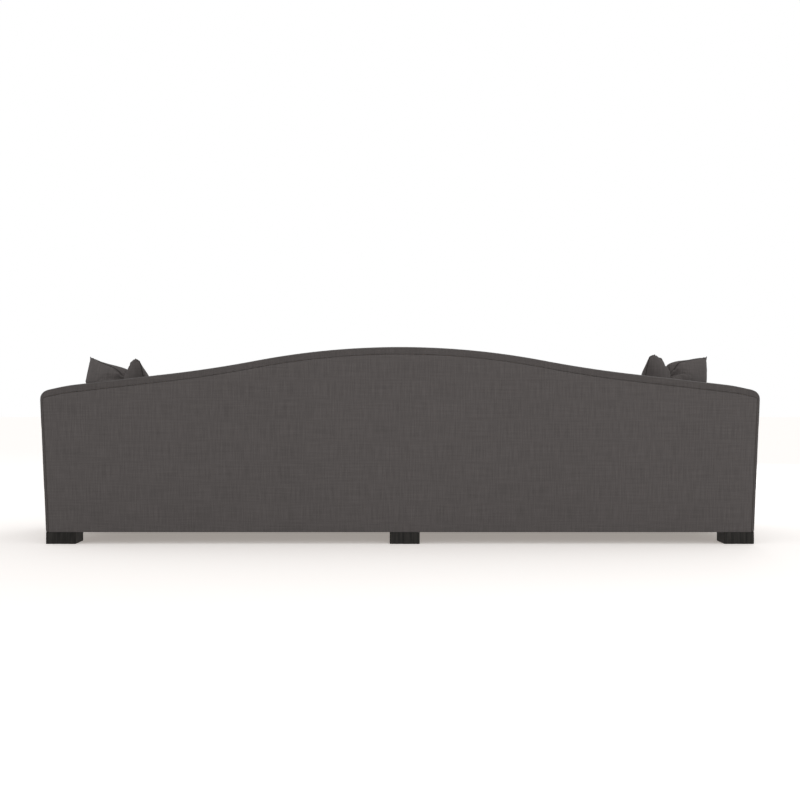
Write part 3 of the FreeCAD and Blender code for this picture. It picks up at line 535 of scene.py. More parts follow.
def new_group(name, inputs, outputs):
    """A new node group with named inputs and outputs."""
    group = bpy.data.node_groups.new(name, "ShaderNodeTree")
    for title, kind, default in inputs:
        socket = group.interface.new_socket(title, in_out="INPUT", socket_type=kind)
        if default is not None:
            socket.default_value = default
    for title, kind in outputs:
        group.interface.new_socket(title, in_out="OUTPUT", socket_type=kind)
    return group, node(group, "NodeGroupInput", (-1200, 0)), node(group, "NodeGroupOutput", (900, 0))


def maths(tree, operation, at, *values):
    """The outcome of one sum over numbers and other nodes' outputs."""
    made = node(tree, "ShaderNodeMath", at, operation=operation)
    for index, value in enumerate(values):
        if isinstance(value, (int, float)):
            made.inputs[index].default_value = value
        else:
            tree.links.new(value, made.inputs[index])
    return made.outputs[0]


def make_weave():
    """Plain weave of uneven yarn on cloth coordinates in metres: its height and a lightness factor."""
    group, given, out = new_group(
        "plain_weave",
        [("Cloth", "NodeSocketVector", None), ("Yarns per metre", "NodeSocketFloat", 420.0),
         ("Yarn contrast", "NodeSocketFloat", 0.10), ("Slub contrast", "NodeSocketFloat", 0.10)],
        [("Height", "NodeSocketFloat"), ("Shade", "NodeSocketFloat")],
    )
    link = group.links.new
    wobble = node(group, "ShaderNodeTexNoise", (-1000, -400), noise_dimensions="2D")
    wobble.inputs["Scale"].default_value = 60
    wobble.inputs["Detail"].default_value = 2
    link(given.outputs["Cloth"], wobble.inputs["Vector"])
    split = node(group, "ShaderNodeSeparateXYZ", (-1000, 0))
    link(given.outputs["Cloth"], split.inputs[0])
    sway = maths(group, "MULTIPLY", (-800, -400), wobble.outputs["Fac"], 0.004)
    yarns = []
    for axis, at in ((0, 200), (1, -100)):
        along = maths(group, "ADD", (-700, at), split.outputs[axis], sway)
        turns = maths(group, "MULTIPLY", (-550, at), along, given.outputs["Yarns per metre"])
        yarns.append(maths(group, "MULTIPLY", (-400, at), turns, math.pi))
    warp = maths(group, "SINE", (-250, 200), yarns[0])
    weft = maths(group, "SINE", (-250, -100), yarns[1])
    crossing = maths(group, "MULTIPLY", (-100, 50), warp, weft)
    over = maths(group, "ABSOLUTE", (-100, 200), warp)
    under = maths(group, "ABSOLUTE", (-100, -100), weft)
    tops = maths(group, "MAXIMUM", (50, 50), over, under)
    height = maths(group, "MULTIPLY_ADD", (200, 50), crossing, 0.35, tops)
    link(height, out.inputs["Height"])

    shades = []
    for scale, stretch, at in ((190, (1, 0.06, 1), -500), (150, (0.05, 1, 1), -750)):
        place = node(group, "ShaderNodeMapping", (-800, at))
        place.inputs["Scale"].default_value = stretch
        link(given.outputs["Cloth"], place.inputs["Vector"])
        slub = node(group, "ShaderNodeTexNoise", (-600, at), noise_dimensions="2D")
        slub.inputs["Scale"].default_value = scale
        slub.inputs["Detail"].default_value = 2
        link(place.outputs[0], slub.inputs["Vector"])
        shades.append(maths(group, "SUBTRACT", (-400, at), slub.outputs["Fac"], 0.5))
    fleck = node(group, "ShaderNodeTexNoise", (-600, -1000), noise_dimensions="2D")
    fleck.inputs["Scale"].default_value = 420
    fleck.inputs["Detail"].default_value = 1
    link(given.outputs["Cloth"], fleck.inputs["Vector"])
    weft_share = maths(group, "MULTIPLY", (-300, -750), shades[1], 0.6)
    streaks = maths(group, "ADD", (-200, -600), shades[0], weft_share)
    slubs = maths(group, "MULTIPLY", (0, -600), streaks, given.outputs["Slub contrast"])
    flecks = maths(group, "SUBTRACT", (-200, -1000), fleck.outputs["Fac"], 0.5)
    grains = maths(group, "MULTIPLY", (0, -900), flecks, given.outputs["Yarn contrast"])
    shade = maths(group, "ADD", (200, -700), slubs, grains)
    shade = maths(group, "MULTIPLY_ADD", (350, -700), shade, 2.0, 1.0)
    link(shade, out.inputs["Shade"])
    return group


def make_handling():
    """Slow changes of lightness over a surface, from handling and light."""
    group, given, out = new_group(
        "handling", [("Place", "NodeSocketVector", None), ("Amount", "NodeSocketFloat", 0.05)],
        [("Shade", "NodeSocketFloat")],
    )
    cloud = node(group, "ShaderNodeTexNoise", (-600, 0))
    cloud.inputs["Scale"].default_value = 3.2
    cloud.inputs["Detail"].default_value = 3
    group.links.new(given.outputs["Place"], cloud.inputs["Vector"])
    centred = maths(group, "SUBTRACT", (-300, 0), cloud.outputs["Fac"], 0.5)
    amount = maths(group, "MULTIPLY", (-100, 0), centred, given.outputs["Amount"])
    group.links.new(maths(group, "MULTIPLY_ADD", (100, 0), amount, 2.0, 1.0), out.inputs["Shade"])
    return group


WEAVE = make_weave()
HANDLING = make_handling()


def place_group(tree, group, at, values):
    """A group placed in a material, with its inputs set or linked."""
    made = node(tree, "ShaderNodeGroup", at, node_tree=group)
    for name, value in values.items():
        socket = made.inputs[name]
        if isinstance(value, (int, float)):
            socket.default_value = value
        else:
            tree.links.new(value, socket)
    return made


def new_material(name):
    """A new material with its node tree and its main shader."""
    material = bpy.data.materials.new(name)
    material.use_nodes = True
    tree = material.node_tree
    shader = tree.nodes["Principled BSDF"]
    return material, tree, shader


def shaded(tree, colour, factor, at):
    """A base colour times a lightness factor."""
    tint = node(tree, "ShaderNodeVectorMath", at, operation="SCALE")
    tint.inputs[0].default_value = colour
    tree.links.new(factor, tint.inputs["Scale"])
    return tint.outputs[0]


def fabric(name, colour, yarns=420.0, slub_contrast=0.20, bump=0.35, sheen=0.02):
    """A woven fabric: its colour, yarns to the metre, slubs, relief and sheen."""
    material, tree, shader = new_material(name)
    link = tree.links.new
    cloth = node(tree, "ShaderNodeUVMap", (-900, 100), uv_map="cloth")
    place = node(tree, "ShaderNodeTexCoord", (-900, -300))
    weave = place_group(tree, WEAVE, (-650, 100), {
        "Cloth": cloth.outputs[0], "Yarns per metre": yarns,
        "Yarn contrast": 0.16, "Slub contrast": slub_contrast})
    handled = place_group(tree, HANDLING, (-650, -300), {"Place": place.outputs["Object"], "Amount": 0.05})
    shade = maths(tree, "MULTIPLY", (-400, -100), weave.outputs["Shade"], handled.outputs["Shade"])
    link(shaded(tree, colour, shade, (-200, 100)), shader.inputs["Base Color"])
    height = node(tree, "ShaderNodeBump", (-200, -300))
    height.inputs["Strength"].default_value = bump
    height.inputs["Distance"].default_value = 0.0006
    link(weave.outputs["Height"], height.inputs["Height"])
    link(height.outputs[0], shader.inputs["Normal"])
    shader.inputs["Roughness"].default_value = 0.93
    shader.inputs["Specular IOR Level"].default_value = 0.10
    shader.inputs["Sheen Weight"].default_value = sheen
    shader.inputs["Sheen Roughness"].default_value = 0.6
    return material


def wood(name, colour, rough, grain=0.25, shine=0.4, axis=2):
    """Wood with its grain along an axis: the grain's contrast, roughness and shine."""
    material, tree, shader = new_material(name)
    link = tree.links.new
    place = node(tree, "ShaderNodeTexCoord", (-1100, 0))
    stretch = node(tree, "ShaderNodeMapping", (-900, 0))
    scale = [1.0, 1.0, 1.0]
    scale[axis] = 0.06
    stretch.inputs["Scale"].default_value = scale
    link(place.outputs["Object"], stretch.inputs["Vector"])
    fibre = node(tree, "ShaderNodeTexNoise", (-700, 0))
    fibre.inputs["Scale"].default_value = 130
    fibre.inputs["Detail"].default_value = 4
    link(stretch.outputs[0], fibre.inputs["Vector"])
    centred = maths(tree, "SUBTRACT", (-500, 0), fibre.outputs["Fac"], 0.5)
    shade = maths(tree, "MULTIPLY_ADD", (-350, 0), centred, 2 * grain, 1.0)
    link(shaded(tree, colour, shade, (-200, 100)), shader.inputs["Base Color"])
    height = node(tree, "ShaderNodeBump", (-200, -300))
    height.inputs["Strength"].default_value = 0.25
    height.inputs["Distance"].default_value = 0.0004
    link(fibre.outputs["Fac"], height.inputs["Height"])
    link(height.outputs[0], shader.inputs["Normal"])
    shader.inputs["Specular IOR Level"].default_value = shine
    gloss = maths(tree, "MULTIPLY_ADD", (-200, -100), centred, 0.2, rough)
    link(gloss, shader.inputs["Roughness"])
    return material


TWEED = fabric("charcoal_tweed", (0.0925, 0.0830, 0.0805))
# The same tweed darkened for the inside back: painted shade, for the darker band where the cover turns over
# the top
SHADED_WRAP_TWEED = fabric("charcoal_tweed_wrap_painted_shade", (0.0790, 0.0705, 0.0680))
# The same tweed made a tenth lighter for the pillows: painted light on their leaning faces
LIT_PILLOW_TWEED = fabric("charcoal_tweed_pillow_painted_light", (0.1010, 0.0906, 0.0879))
# The same tweed darkened for the seam cords: painted shade along the seams and the pillows' edges
SHADED_SEAM_TWEED = fabric("seam_tweed_painted_shade", (0.054, 0.049, 0.047))
DECKING = fabric("decking_cloth", (0.070, 0.065, 0.062), yarns=700, slub_contrast=0.03)
CAMBRIC = fabric("dust_cambric", (0.016, 0.016, 0.017), yarns=900, slub_contrast=0.02, sheen=0.0)
WEBBING = fabric("jute_webbing", (0.28, 0.21, 0.13), yarns=500)
BATTING = fabric("batting", (0.72, 0.70, 0.64), yarns=200, bump=0.2)
ESPRESSO = wood("espresso_wood", (0.0170, 0.0156, 0.0138), rough=0.55, grain=2.0, shine=0.15)
HARDWOOD = wood("frame_hardwood", (0.50, 0.35, 0.21), rough=0.7, axis=0)
BOARD = wood("liner_board", (0.055, 0.048, 0.042), rough=0.9, grain=0.12)


def zinc(name):
    """Zinc plate, with its spangle in the roughness."""
    material, tree, shader = new_material(name)
    place = node(tree, "ShaderNodeTexCoord", (-700, 0))
    spangle = node(tree, "ShaderNodeTexVoronoi", (-500, 0))
    spangle.inputs["Scale"].default_value = 220
    tree.links.new(place.outputs["Object"], spangle.inputs["Vector"])
    rough = maths(tree, "MULTIPLY_ADD", (-250, 0), spangle.outputs["Distance"], 0.2, 0.3)
    tree.links.new(rough, shader.inputs["Roughness"])
    shader.inputs["Base Color"].default_value = (0.55, 0.56, 0.57, 1)
    shader.inputs["Metallic"].default_value = 1.0
    return material


ZINC = zinc("zinc_plate")
NODE_FINISH = {"frame_wood": HARDWOOD, "webbing": WEBBING, "liner_board": BOARD, "padding": BATTING,
               "upholstery_fabric": TWEED, "deck_cloth": DECKING, "dust_cloth": CAMBRIC,
               "foot_wood": ESPRESSO, "bolt_steel": ZINC}


def cloth_map(piece):
    """Lay the fabric's grain on a piece: warp upright on its sides and front to back on its top."""
    mesh = piece.data
    layer = mesh.uv_layers.get("cloth") or mesh.uv_layers.new(name="cloth")
    for face in mesh.polygons:
        x, y, z = (abs(part) for part in face.normal)
        for corner in face.loop_indices:
            place = mesh.vertices[mesh.loops[corner].vertex_index].co
            if z > x and z > y:
                layer.data[corner].uv = (place.x, place.y)
            elif y >= x:
                layer.data[corner].uv = (place.x, place.z)
            else:
                layer.data[corner].uv = (place.y, place.z)


def finished(piece, material, body, stands_for=()):
    """Give a piece its fabric, its body and the nodes that it stands for."""
    cloth_map(piece)
    piece.data.materials.clear()
    piece.data.materials.append(material)
    for face in piece.data.polygons:
        face.use_smooth = True
    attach(piece, body)
    if stands_for:
        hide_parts(*stands_for)
    return piece


# ---- The upholstered frame


def seam_outline(extra=0.0, foot=0.0):
    """The outside back's outline: the camel line dropped to its seam, between the side seams."""
    inset = SIDE_SEAM + extra
    half = [(x, z) for x, z in camel_half(extra, TOP_SEAM) if x < side_x(z, inset) - 0.001]
    corner = half[-1][1] - 0.004
    return mirrored(half + [(side_x(corner, inset), corner), (side_x(foot, inset), foot)])


def back_shapes():
    """The back's closed shapes: the raked slab, the pitched wedge before it and the part at the seat."""
    slab = prism(camel_line(), 0.0, -END_THICKNESS)
    rounded(slab, at_depth(0.0, 0.0), REAR_ROUND, 4)
    rounded(slab, at_depth(-END_THICKNESS, 0.0), FRONT_ROUND, 6)
    bmesh.ops.transform(slab, matrix=RAKED, verts=slab.verts)
    cut_flat(slab, (0, 0, BASE), (0, 0, -1))

    def upper_end(a, b):
        return abs(a.y - b.y) > 0.1 and abs(abs(a.x) - ARM_INNER) < 1e-4 and a.z > 0.1

    wedge = prism(camel_line(ARM_INNER), 0.0, 0.30)
    rounded(wedge, upper_end, ROLL, 8)
    rounded(wedge, at_depth(0.0, 0.0), ROLL * 0.96, 8)
    bmesh.ops.transform(wedge, matrix=PITCHED, verts=wedge.verts)
    cut_flat(wedge, (0, 0, KNEE), (0, 0, -1))
    inside_slab = (0, rear_y(MID_HEIGHT) - 0.03, MID_HEIGHT)
    cut_flat(wedge, inside_slab, (0, math.cos(RAKE), -math.sin(RAKE)))

    top = KNEE + 0.01
    knee = prism([(-ARM_INNER, DECK), (ARM_INNER, DECK), (ARM_INNER, top), (-ARM_INNER, top)],
                 rear_y(DECK) - 0.05, inside_y(KNEE))
    return slab, wedge, knee


def make_inside_back():
    """Inside back, its top and its ends in one cover, with a recess behind for the outside back."""
    piece = remeshed(joined("inside_back_upholstery", back_shapes()), VOXEL)
    unraked = RAKED.inverted()

    def near_crease(place):
        depth = (unraked @ place).y
        return abs(place.x) < ARM_INNER - 0.02 and CREASE[0] < depth < CREASE[1] and place.z > CREASE_LOW

    smoothed(piece, 4)
    smoothed(piece, 25, near_crease)

    def swell(place, normal):
        if normal.y > -0.3 or abs(place.x) > ARM_INNER - 0.005 or place.z < DECK:
            return Vector()
        across = ease(ARM_INNER - abs(place.x), 0.0, 0.35)
        up = ease(place.z, KNEE - 0.05, KNEE + 0.16) * ease(BACK_SWELL_TOP - place.z, 0.0, 0.14)
        ripple = BACK_RIPPLE * noise.noise(Vector((place.x * 5, 3.1, place.z * 7)))
        return normal * (BACK_SWELL * across * up + ripple * across)

    moved_by(piece, swell)
    rear_cut = prism(seam_outline(0.0, 0.02), 0.03, -RECESS, RAKED)
    carved(piece, mesh_object("cutter", rear_cut))
    # The inside back takes the darkened tweed, which is painted shade
    finished(piece, SHADED_WRAP_TWEED, "sofa_frame", ("inside_back_cover", "inside_back_pad"))
    return piece


def panel(name, points, depth, crown, place, edge=0.0025, step=0.03):
    """A taut fabric panel over its outline: turned-in edges and a very slight crown."""
    xs = [x for x, _ in points]
    zs = [z for _, z in points]
    left, right, low, high = min(xs), max(xs), min(zs), max(zs)
    face = 1e-6
    shape = prism(points, 0.0, -depth)
    rounded(shape, lambda a, b: abs(a.y) < face and abs(b.y) < face, edge, 3)
    gridded(shape, "x", left, right, step)
    gridded(shape, "z", low, high, step)
    for vert in shape.verts:
        if vert.co.y > -face:
            reach = min(vert.co.x - left, right - vert.co.x, vert.co.z - low, high - vert.co.z)
            vert.co.y += crown * ease(reach, 0.0, 0.12)
    bmesh.ops.transform(shape, matrix=place, verts=shape.verts)
    bmesh.ops.recalc_face_normals(shape, faces=shape.faces)
    return mesh_object(name, shape)


def make_outside_back():
    """The outside back: one sheet stretched over the liner board, between its seams."""
    low = (BASE + PANEL_LIFT - BACK_Z) / math.cos(RAKE)
    points = [(x, max(z, low)) for x, z in seam_outline(SEAM_GAP)]
    piece = panel("outside_back_panel", points, PANEL_DEPTH, OUTSIDE_BACK_CROWN, RAKED)
    finished(piece, TWEED, "sofa_frame", ("outside_back_cover",))
    turns = zip(points, points[1:] + points[:1])
    area = 0.5 * abs(sum(x1 * z2 - x2 * z1 for (x1, z1), (x2, z2) in turns))


def facing_front(depth):
    """The place of a panel that faces the front at a depth."""
    return Matrix.Translation((0, depth, 0)) @ Matrix.Scale(-1, 4, (0, 1, 0))


def make_arm(side, hand):
    """An arm's padding and cover, with recesses for its facing and its outside panel."""
    rear = rear_y(MID_HEIGHT) - END_THICKNESS + 0.02
    shape = prism(arm_line(hand), FRONT, rear)
    rounded(shape, at_depth(FRONT, BASE), ARM_FRONT_ROUND, 5)
    piece = remeshed(mesh_object(f"arm_upholstery_{side}", shape), VOXEL)
    smoothed(piece, 4)

    def swell(place, normal):
        length = ease(place.y - FRONT, 0.0, 0.12) * ease(rear - 0.05 - place.y, 0.0, 0.12)
        ripple = ARM_RIPPLE * noise.noise(Vector((place.y * 7, place.z * 6, 2.0 * hand)))
        if normal.z > 0.5:
            return normal * (ARM_SWELL * length + ripple)
        if normal.x * hand < -0.5 and place.z > DECK:
            return normal * (ARM_SWELL / 3 * length + ripple * 0.5)
        return Vector()

    moved_by(piece, swell)
    outline = arm_line(hand, FACING_INSET, BASE - 0.02)
    carved(piece, mesh_object("cutter", prism(outline, FRONT - 0.03, FRONT + RECESS)))
    finished(piece, TWEED, "sofa_frame", (f"arm_cover_{side}", f"arm_pad_{side}"))

    facing = arm_line(hand, FACING_INSET + SEAM_GAP, BASE + PANEL_LIFT)
    front = panel(f"arm_facing_panel_{side}", facing, PANEL_DEPTH, PANEL_CROWN, facing_front(FRONT))
    finished(front, TWEED, "sofa_frame", (f"arm_facing_{side}",))
    return piece


def side_place(hand):
    """The leaning outside face of an arm: local X runs back, Y out and Z up."""
    lean_sine, lean_cosine = math.sin(SIDE_LEAN), math.cos(SIDE_LEAN)
    return Matrix((
        (0, hand * lean_cosine, hand * lean_sine, hand * side_x(0)),
        (1, 0, 0, 0),
        (0, -lean_sine, lean_cosine, 0),
        (0, 0, 0, 1),
    ))


def side_outline(extra=0.0, foot=BASE):
    """The outside arm's outline (y, z), from the arm's front edge to the back's rear edge."""
    front, edge = FRONT + SIDE_SEAM + extra, SIDE_SEAM + extra
    crest = ARM_SEAM - extra
    return [(front, foot), (rear_y(foot) - edge, foot), (rear_y(crest) - edge, crest), (front, crest)]


def make_outside_arm(side, hand, carved_pieces):
    """An outside arm panel, set into the arm and the end of the back."""
    place = side_place(hand)
    for piece in carved_pieces:
        carved(piece, mesh_object("cutter", prism(side_outline(foot=BASE - 0.03), 0.03, -RECESS, place)))
    outline = side_outline(SEAM_GAP, BASE + PANEL_LIFT)
    piece = panel(f"outside_arm_panel_{side}", outline, PANEL_DEPTH, PANEL_CROWN, place)
    finished(piece, TWEED, "sofa_frame", (f"outside_arm_cover_{side}",))


def make_border():
    """The padded front border under the seat cushions."""
    low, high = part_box("front_border_cover")
    side = ARM_INNER - BORDER_GAP
    points = [(-side, low.z), (side, low.z), (side, high.z), (-side, high.z)]
    piece = panel("front_border", points, BORDER_DEPTH, BORDER_CROWN, facing_front(low.y), BORDER_ROUND)
    finished(piece, TWEED, "sofa_frame", ("front_border_cover", "front_border_pad"))


def make_flat_cloth(name, node_name, material):
    """A flat cloth in its node's place."""
    low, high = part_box(node_name)
    shape = bmesh.new()
    shape.from_mesh(frame["nodes"][node_name].data)
    bmesh.ops.remove_doubles(shape, verts=shape.verts, dist=WELD)
    gridded(shape, "x", low.x, high.x, 0.12)
    gridded(shape, "y", low.y, high.y, 0.12)
    area = sum(face.calc_area() for face in shape.faces if face.normal.z > 0.9)
    piece = mesh_object(name, shape)
    finished(piece, material, "sofa_frame", (node_name,))


# ---- Cushions and pillows


def rounded_outline(low, high, pull, corner, step=0.02):
    """Points (x, y) round a cushion's edge: sides drawn in between round corners."""
    centre, half = (low + high) / 2, (high - low) / 2
    points = []
    for turn in (0, 90, 180, 270):
        across, along = (half.y, half.x) if turn % 180 else (half.x, half.y)
        side = []
        count = round(2 * (along - corner) / step)
        for index in range(count + 1):
            share = 2 * index / count - 1
            side.append((across - pull * (1 - share * share), share * (along - corner)))
        for index in range(1, 6):
            swing = 90 * index / 6
            side.append((across - corner + corner * cosine(swing), along - corner + corner * sine(swing)))
        for x, y in side:
            points.append((centre.x + x * cosine(turn) - y * sine(turn),
                           centre.y + x * sine(turn) + y * cosine(turn)))
    return points


def make_seat_cushion(side, seed):
    """A boxed seat cushion: stuffed, drawn in at its sides, with a seam round its top and its bottom."""
    cover = f"seat_cushion_cover_{side}"
    low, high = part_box(cover)
    body = f"seat_cushion_{side}"
    piece = remeshed(outer_skin(cover, body), CUSHION_VOXEL)
    smoothed(piece, 3)
    stuffed(piece, CUSHION_PRESSURE, CUSHION_SWELL)
    smoothed(piece, 2)

    def rumple(place, normal):
        inner = min(place.x - low.x, high.x - place.x, place.y - low.y, high.y - place.y)
        field = noise.noise(Vector((place.x * 3.2, place.y * 3.2, seed)))
        fine = noise.noise(Vector((place.x * 9, place.y * 9, seed + 5)))
        if normal.z > 0.3:
            uneven = CUSHION_DIMPLE * field + CUSHION_WRINKLE * fine
            return Vector((0, 0, uneven * ease(inner, 0.0, 0.12)))
        if abs(normal.z) < 0.5:
            where = Vector((place.x * 8, place.y * 8, place.z * 8 + seed))
            return normal * CUSHION_WRINKLE * noise.noise(where)
        return Vector()

    moved_by(piece, rumple)
    for vert in piece.data.vertices:
        vert.co.z = max(vert.co.z, low.z + CUSHION_CLEARANCE)
        vert.co.x = min(max(vert.co.x, low.x + CUSHION_CLEARANCE), high.x - CUSHION_CLEARANCE)
        vert.co.y = min(vert.co.y, high.y)
    finished(piece, TWEED, body, (cover, f"seat_cushion_core_{side}"))
    outline = rounded_outline(low, high, CUSHION_DRAW, CUSHION_CORNER)
    for level, height, out in (("top", CUSHION_SIDE + TOP_SEAM_RISE, SEAM_REACH),
                               ("bottom", BOTTOM_SEAM, -SEAM_REACH)):
        aims = [Vector((x, y, low.z + height + out)) for x, y in outline]
        seam = seam_cord(f"seat_seam_{side}_{level}", surface_path(piece, aims), CUSHION_SEAM)
        # The cord takes the darkened tweed, which is painted shade along the seam
        finished(seam, SHADED_SEAM_TWEED, body)


def pillow_bag():
    """A flat square bag, blown up while its top seam is pressed in near one ear.

    With it come the points of its seam, in order, and its four corners, all by their numbers.
    """
    half = PILLOW_CUT / 2
    shape = bmesh.new()
    bmesh.ops.create_cube(shape, size=1.0)
    bmesh.ops.scale(shape, vec=(PILLOW_CUT, PILLOW_CUT, 0.004), verts=shape.verts)
    gridded(shape, "x", -half, half, PILLOW_STEP)
    gridded(shape, "y", -half, half, PILLOW_STEP)
    bag = mesh_object("pillow_bag", shape)
    flat = [vert.co.copy() for vert in bag.data.vertices]
    bag.shape_key_add(name="flat")
    pressed = bag.shape_key_add(name="pressed")
    held = bag.vertex_groups.new(name="held")
    for vert in bag.data.vertices:
        if vert.co.y > half - 0.010 and abs(vert.co.x - PILLOW_NOTCH) < PILLOW_NOTCH_REACH:
            held.add([vert.index], 1.0, "REPLACE")
            pressed.data[vert.index].co = vert.co - Vector((0, PILLOW_CHOP, 0))
    for number in range(1, PILLOW_FRAMES + 1):
        pressed.value = ease(number, 8, 30)
        pressed.keyframe_insert("value", frame=number)
    blown(bag, PILLOW_PRESSURE, PILLOW_FRAMES, held="held")
    rim = [index for index, co in enumerate(flat) if co.z > 0 and max(abs(co.x), abs(co.y)) > half - WELD]
    rim.sort(key=lambda index: math.atan2(flat[index].y, flat[index].x))
    corners = [max(range(len(flat)), key=lambda index: flat[index].dot(Vector((x, y, 1))))
               for x, y in ((1, 1), (-1, 1), (1, -1), (-1, -1))]
    return bag, rim, corners


def bilinear(co):
    """The terms that carry four corners of a bag to four others."""
    return Vector((1, co.x, co.y, co.x * co.y))


def make_pillow(side, hand, bag, rim, corners):
    """A knife-edged throw pillow with ears, leaning in the corner of the sofa."""
    pillow = PILLOWS[side]
    places = [vert.co.copy() for vert in bag.data.vertices]
    known = Matrix([bilinear(places[index]) for index in corners])
    known.invert()
    across = known @ Vector([x for x, _ in pillow["corners"]])
    up = known @ Vector([y for _, y in pillow["corners"]])
    thickness = PILLOW_HALF / max(abs(co.z) for co in places)
    x, y, z = pillow["centre"]
    turned = (Matrix.Translation((hand * x, y, z)) @ Matrix.Rotation(-hand * pillow["turn"], 4, "Z")
              @ Matrix.Rotation(math.pi / 2 - PILLOW_LEAN, 4, "X"))
    shape = bmesh.new()
    shape.from_mesh(bag.data)
    shape.verts.ensure_lookup_table()
    for vert, co in zip(shape.verts, places):
        terms = bilinear(co)
        out, rise = across.dot(terms), up.dot(terms)
        # The inner ear drifts towards the notch, and the seam from the notch to the outer ear lifts.
        out += pillow["drift"] * (1 - ease(abs(out - INNER_EAR), 0.0, EAR_REACH)) * ease(rise, 0.0, 0.10)
        rise += (pillow["lift"] * min(1.0, (OUTER_EAR - out) / LIFT_RUN)
                 * (1 - ease(-out, 0.08, 0.18)) * ease(rise, 0.03, 0.12))
        vert.co = turned @ Vector((hand * out, rise, co.z * thickness))
    bmesh.ops.recalc_face_normals(shape, faces=shape.faces)
    piece = mesh_object(f"throw_pillow_{side}", shape)

    def rumple(place, normal):
        return normal * PILLOW_RUMPLE * noise.noise(place * 11 + Vector((3 * hand, 0, 0)))

    def slump(place, normal):
        """Sink sideways over the arm, least at the pillow's foot and at the tips of its ears."""
        over_arm = ease(place.z, *SLUMP_RISE) * min(1.0, max(0.0, SLUMP_TIP - place.z) / SLUMP_FADE)
        reach = PILLOW_SLUMP + pillow["slump"] * ease(abs(place.x), *SLUMP_REACH)
        return Vector((hand * over_arm * reach, 0, 0))

    moved_by(piece, rumple)
    moved_by(piece, slump)
    kept_clear(piece, [bpy.data.objects[name] for name in (
        f"arm_upholstery_{side}", "inside_back_upholstery", f"seat_cushion_{side}")])
    seam_path = [piece.data.vertices[index].co.copy() for index in rim]
    # The pillow takes the lightened tweed, which is painted light
    finished(piece, LIT_PILLOW_TWEED, f"pillow_{side}",
             (f"pillow_cover_{side}", f"pillow_insert_{side}"))
    seam = seam_cord(f"pillow_seam_{side}", seam_path, PILLOW_SEAM)
    # The cord takes the darkened tweed, which is painted shade along the pillow's edge
    finished(seam, SHADED_SEAM_TWEED, f"pillow_{side}")


inside_back = make_inside_back()
make_outside_back()
for side, hand in HANDS:
    make_outside_arm(side, hand, (make_arm(side, hand), inside_back))
make_border()
make_flat_cloth("deck_cloth", "deck_cover", DECKING)
make_flat_cloth("dust_cloth", "dust_cover", CAMBRIC)
for side, seed in (("left", 1.3), ("centre", 4.7), ("right", 8.1)):
    make_seat_cushion(side, seed)
bag, rim, corners = pillow_bag()
for side, hand in HANDS:
    make_pillow(side, hand, bag, rim, corners)
bpy.data.objects.remove(bag)


# ---- Nodes that show as they are

for subpart in frame["record"]["subparts"]:
    shown = frame["nodes"][subpart["node"]]
    shown.data.materials.clear()
    shown.data.materials.append(NODE_FINISH[subpart["material_slot"]])

# ---- Room, light and camera

EYE = (0.0, 5.793, 0.613)
LENS = 56.9
FLOOR_REACH = 40
FLOOR_GLOW = 0.33
HORIZON_LIGHT = 1.12
ZENITH_LIGHT = 0.60
SOFTBOXES = (  # name, place, size and power
    ("softbox_rear", (-1.2, 6.0, 1.3), 3.0, 60),
    ("softbox_front", (-2.5, -5.5, 3.0), 3.5, 110),
)
SOFTBOX_AIM = Vector((0, 0, 0.4))


def seen_by_camera(tree, x, y):
    """1 for what the camera sees straight, in a reflection or through glass."""
    rays = node(tree, "ShaderNodeLightPath", (x, y))
    seen = maths(tree, "ADD", (x + 150, y), rays.outputs["Is Camera Ray"], rays.outputs["Is Glossy Ray"])
    return maths(tree, "ADD", (x + 300, y), seen, rays.outputs["Is Transmission Ray"])


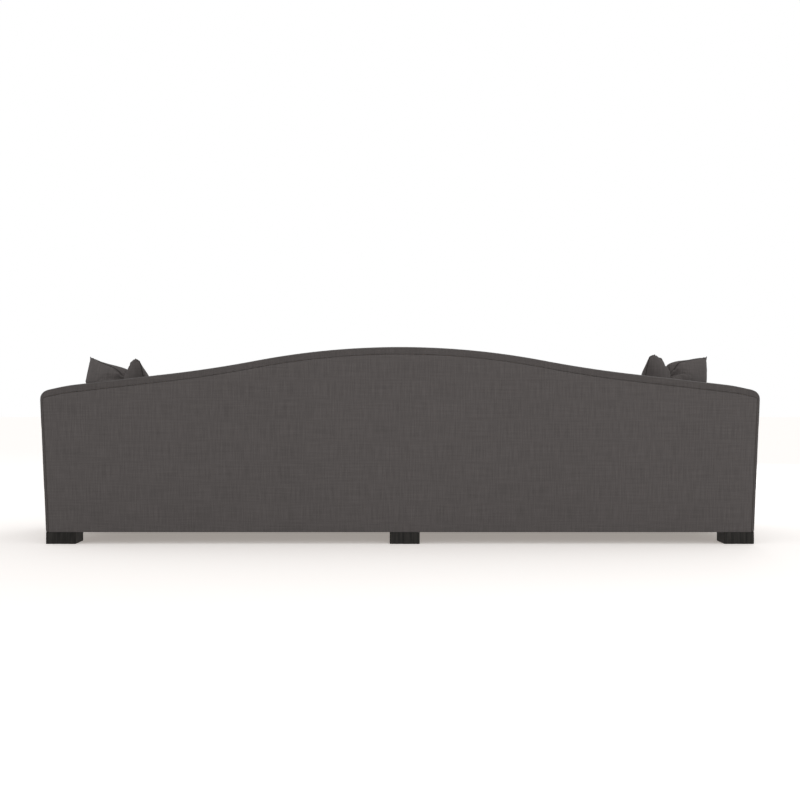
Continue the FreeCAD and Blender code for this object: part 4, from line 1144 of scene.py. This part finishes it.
def make_floor():
    """A white floor whose shade under the sofa stays warm."""
    shape = bmesh.new()
    bmesh.ops.create_grid(shape, x_segments=1, y_segments=1, size=FLOOR_REACH)
    floor = mesh_object("floor", shape)
    material, tree, shader = new_material("pale_floor")
    shader.inputs["Base Color"].default_value = (0.88, 0.88, 0.88, 1)
    shader.inputs["Roughness"].default_value = 0.9
    shader.inputs["Specular IOR Level"].default_value = 0.0
    glow = node(tree, "ShaderNodeEmission", (0, -300))
    glow.inputs["Color"].default_value = (1.0, 0.91, 0.84, 1)
    strength = maths(tree, "MULTIPLY", (-150, -300), seen_by_camera(tree, -600, -300), FLOOR_GLOW)
    tree.links.new(strength, glow.inputs["Strength"])
    both = node(tree, "ShaderNodeAddShader", (200, 0))
    tree.links.new(shader.outputs[0], both.inputs[0])
    tree.links.new(glow.outputs[0], both.inputs[1])
    tree.links.new(both.outputs[0], tree.nodes["Material Output"].inputs["Surface"])
    floor.data.materials.append(material)


def make_light():
    """A bright even room, a little dimmer overhead, with a low softbox on each side of the sofa."""
    world = bpy.data.worlds.new("soft_room")
    bpy.context.scene.world = world
    world.use_nodes = True
    tree = world.node_tree
    dim = tree.nodes["Background"]
    dim.inputs["Color"].default_value = (1.0, 1.0, 1.0, 1)
    way = node(tree, "ShaderNodeTexCoord", (-900, -200))
    split = node(tree, "ShaderNodeSeparateXYZ", (-700, -200))
    tree.links.new(way.outputs["Generated"], split.inputs[0])
    up = maths(tree, "MAXIMUM", (-500, -200), split.outputs[2], 0.0)
    strength = maths(tree, "MULTIPLY_ADD", (-350, -200), up, ZENITH_LIGHT - HORIZON_LIGHT, HORIZON_LIGHT)
    tree.links.new(strength, dim.inputs["Strength"])
    bright = node(tree, "ShaderNodeBackground", (0, -200))
    bright.inputs["Color"].default_value = (1.0, 1.0, 1.0, 1)
    pick = node(tree, "ShaderNodeMixShader", (200, 0))
    tree.links.new(seen_by_camera(tree, -450, 200), pick.inputs[0])
    tree.links.new(dim.outputs[0], pick.inputs[1])
    tree.links.new(bright.outputs[0], pick.inputs[2])
    tree.links.new(pick.outputs[0], tree.nodes["World Output"].inputs["Surface"])
    for name, place, size, power in SOFTBOXES:
        lamp = bpy.data.lights.new(name, "AREA")
        lamp.size = size
        lamp.energy = power
        box = bpy.data.objects.new(name, lamp)
        box.location = place
        box.rotation_euler = (SOFTBOX_AIM - Vector(place)).to_track_quat("-Z", "Y").to_euler()
        bpy.context.scene.collection.objects.link(box)


def make_camera():
    """The photograph's camera, level and straight behind the sofa."""
    lens = bpy.data.cameras.new("camera")
    lens.lens = LENS
    lens.sensor_width = 36
    camera = bpy.data.objects.new("camera", lens)
    camera.location = EYE
    camera.rotation_euler = (math.radians(90), 0, math.radians(180))
    bpy.context.scene.collection.objects.link(camera)
    bpy.context.scene.camera = camera


make_floor()
make_light()
make_camera()
bpy.context.scene.view_settings.view_transform = "Standard"
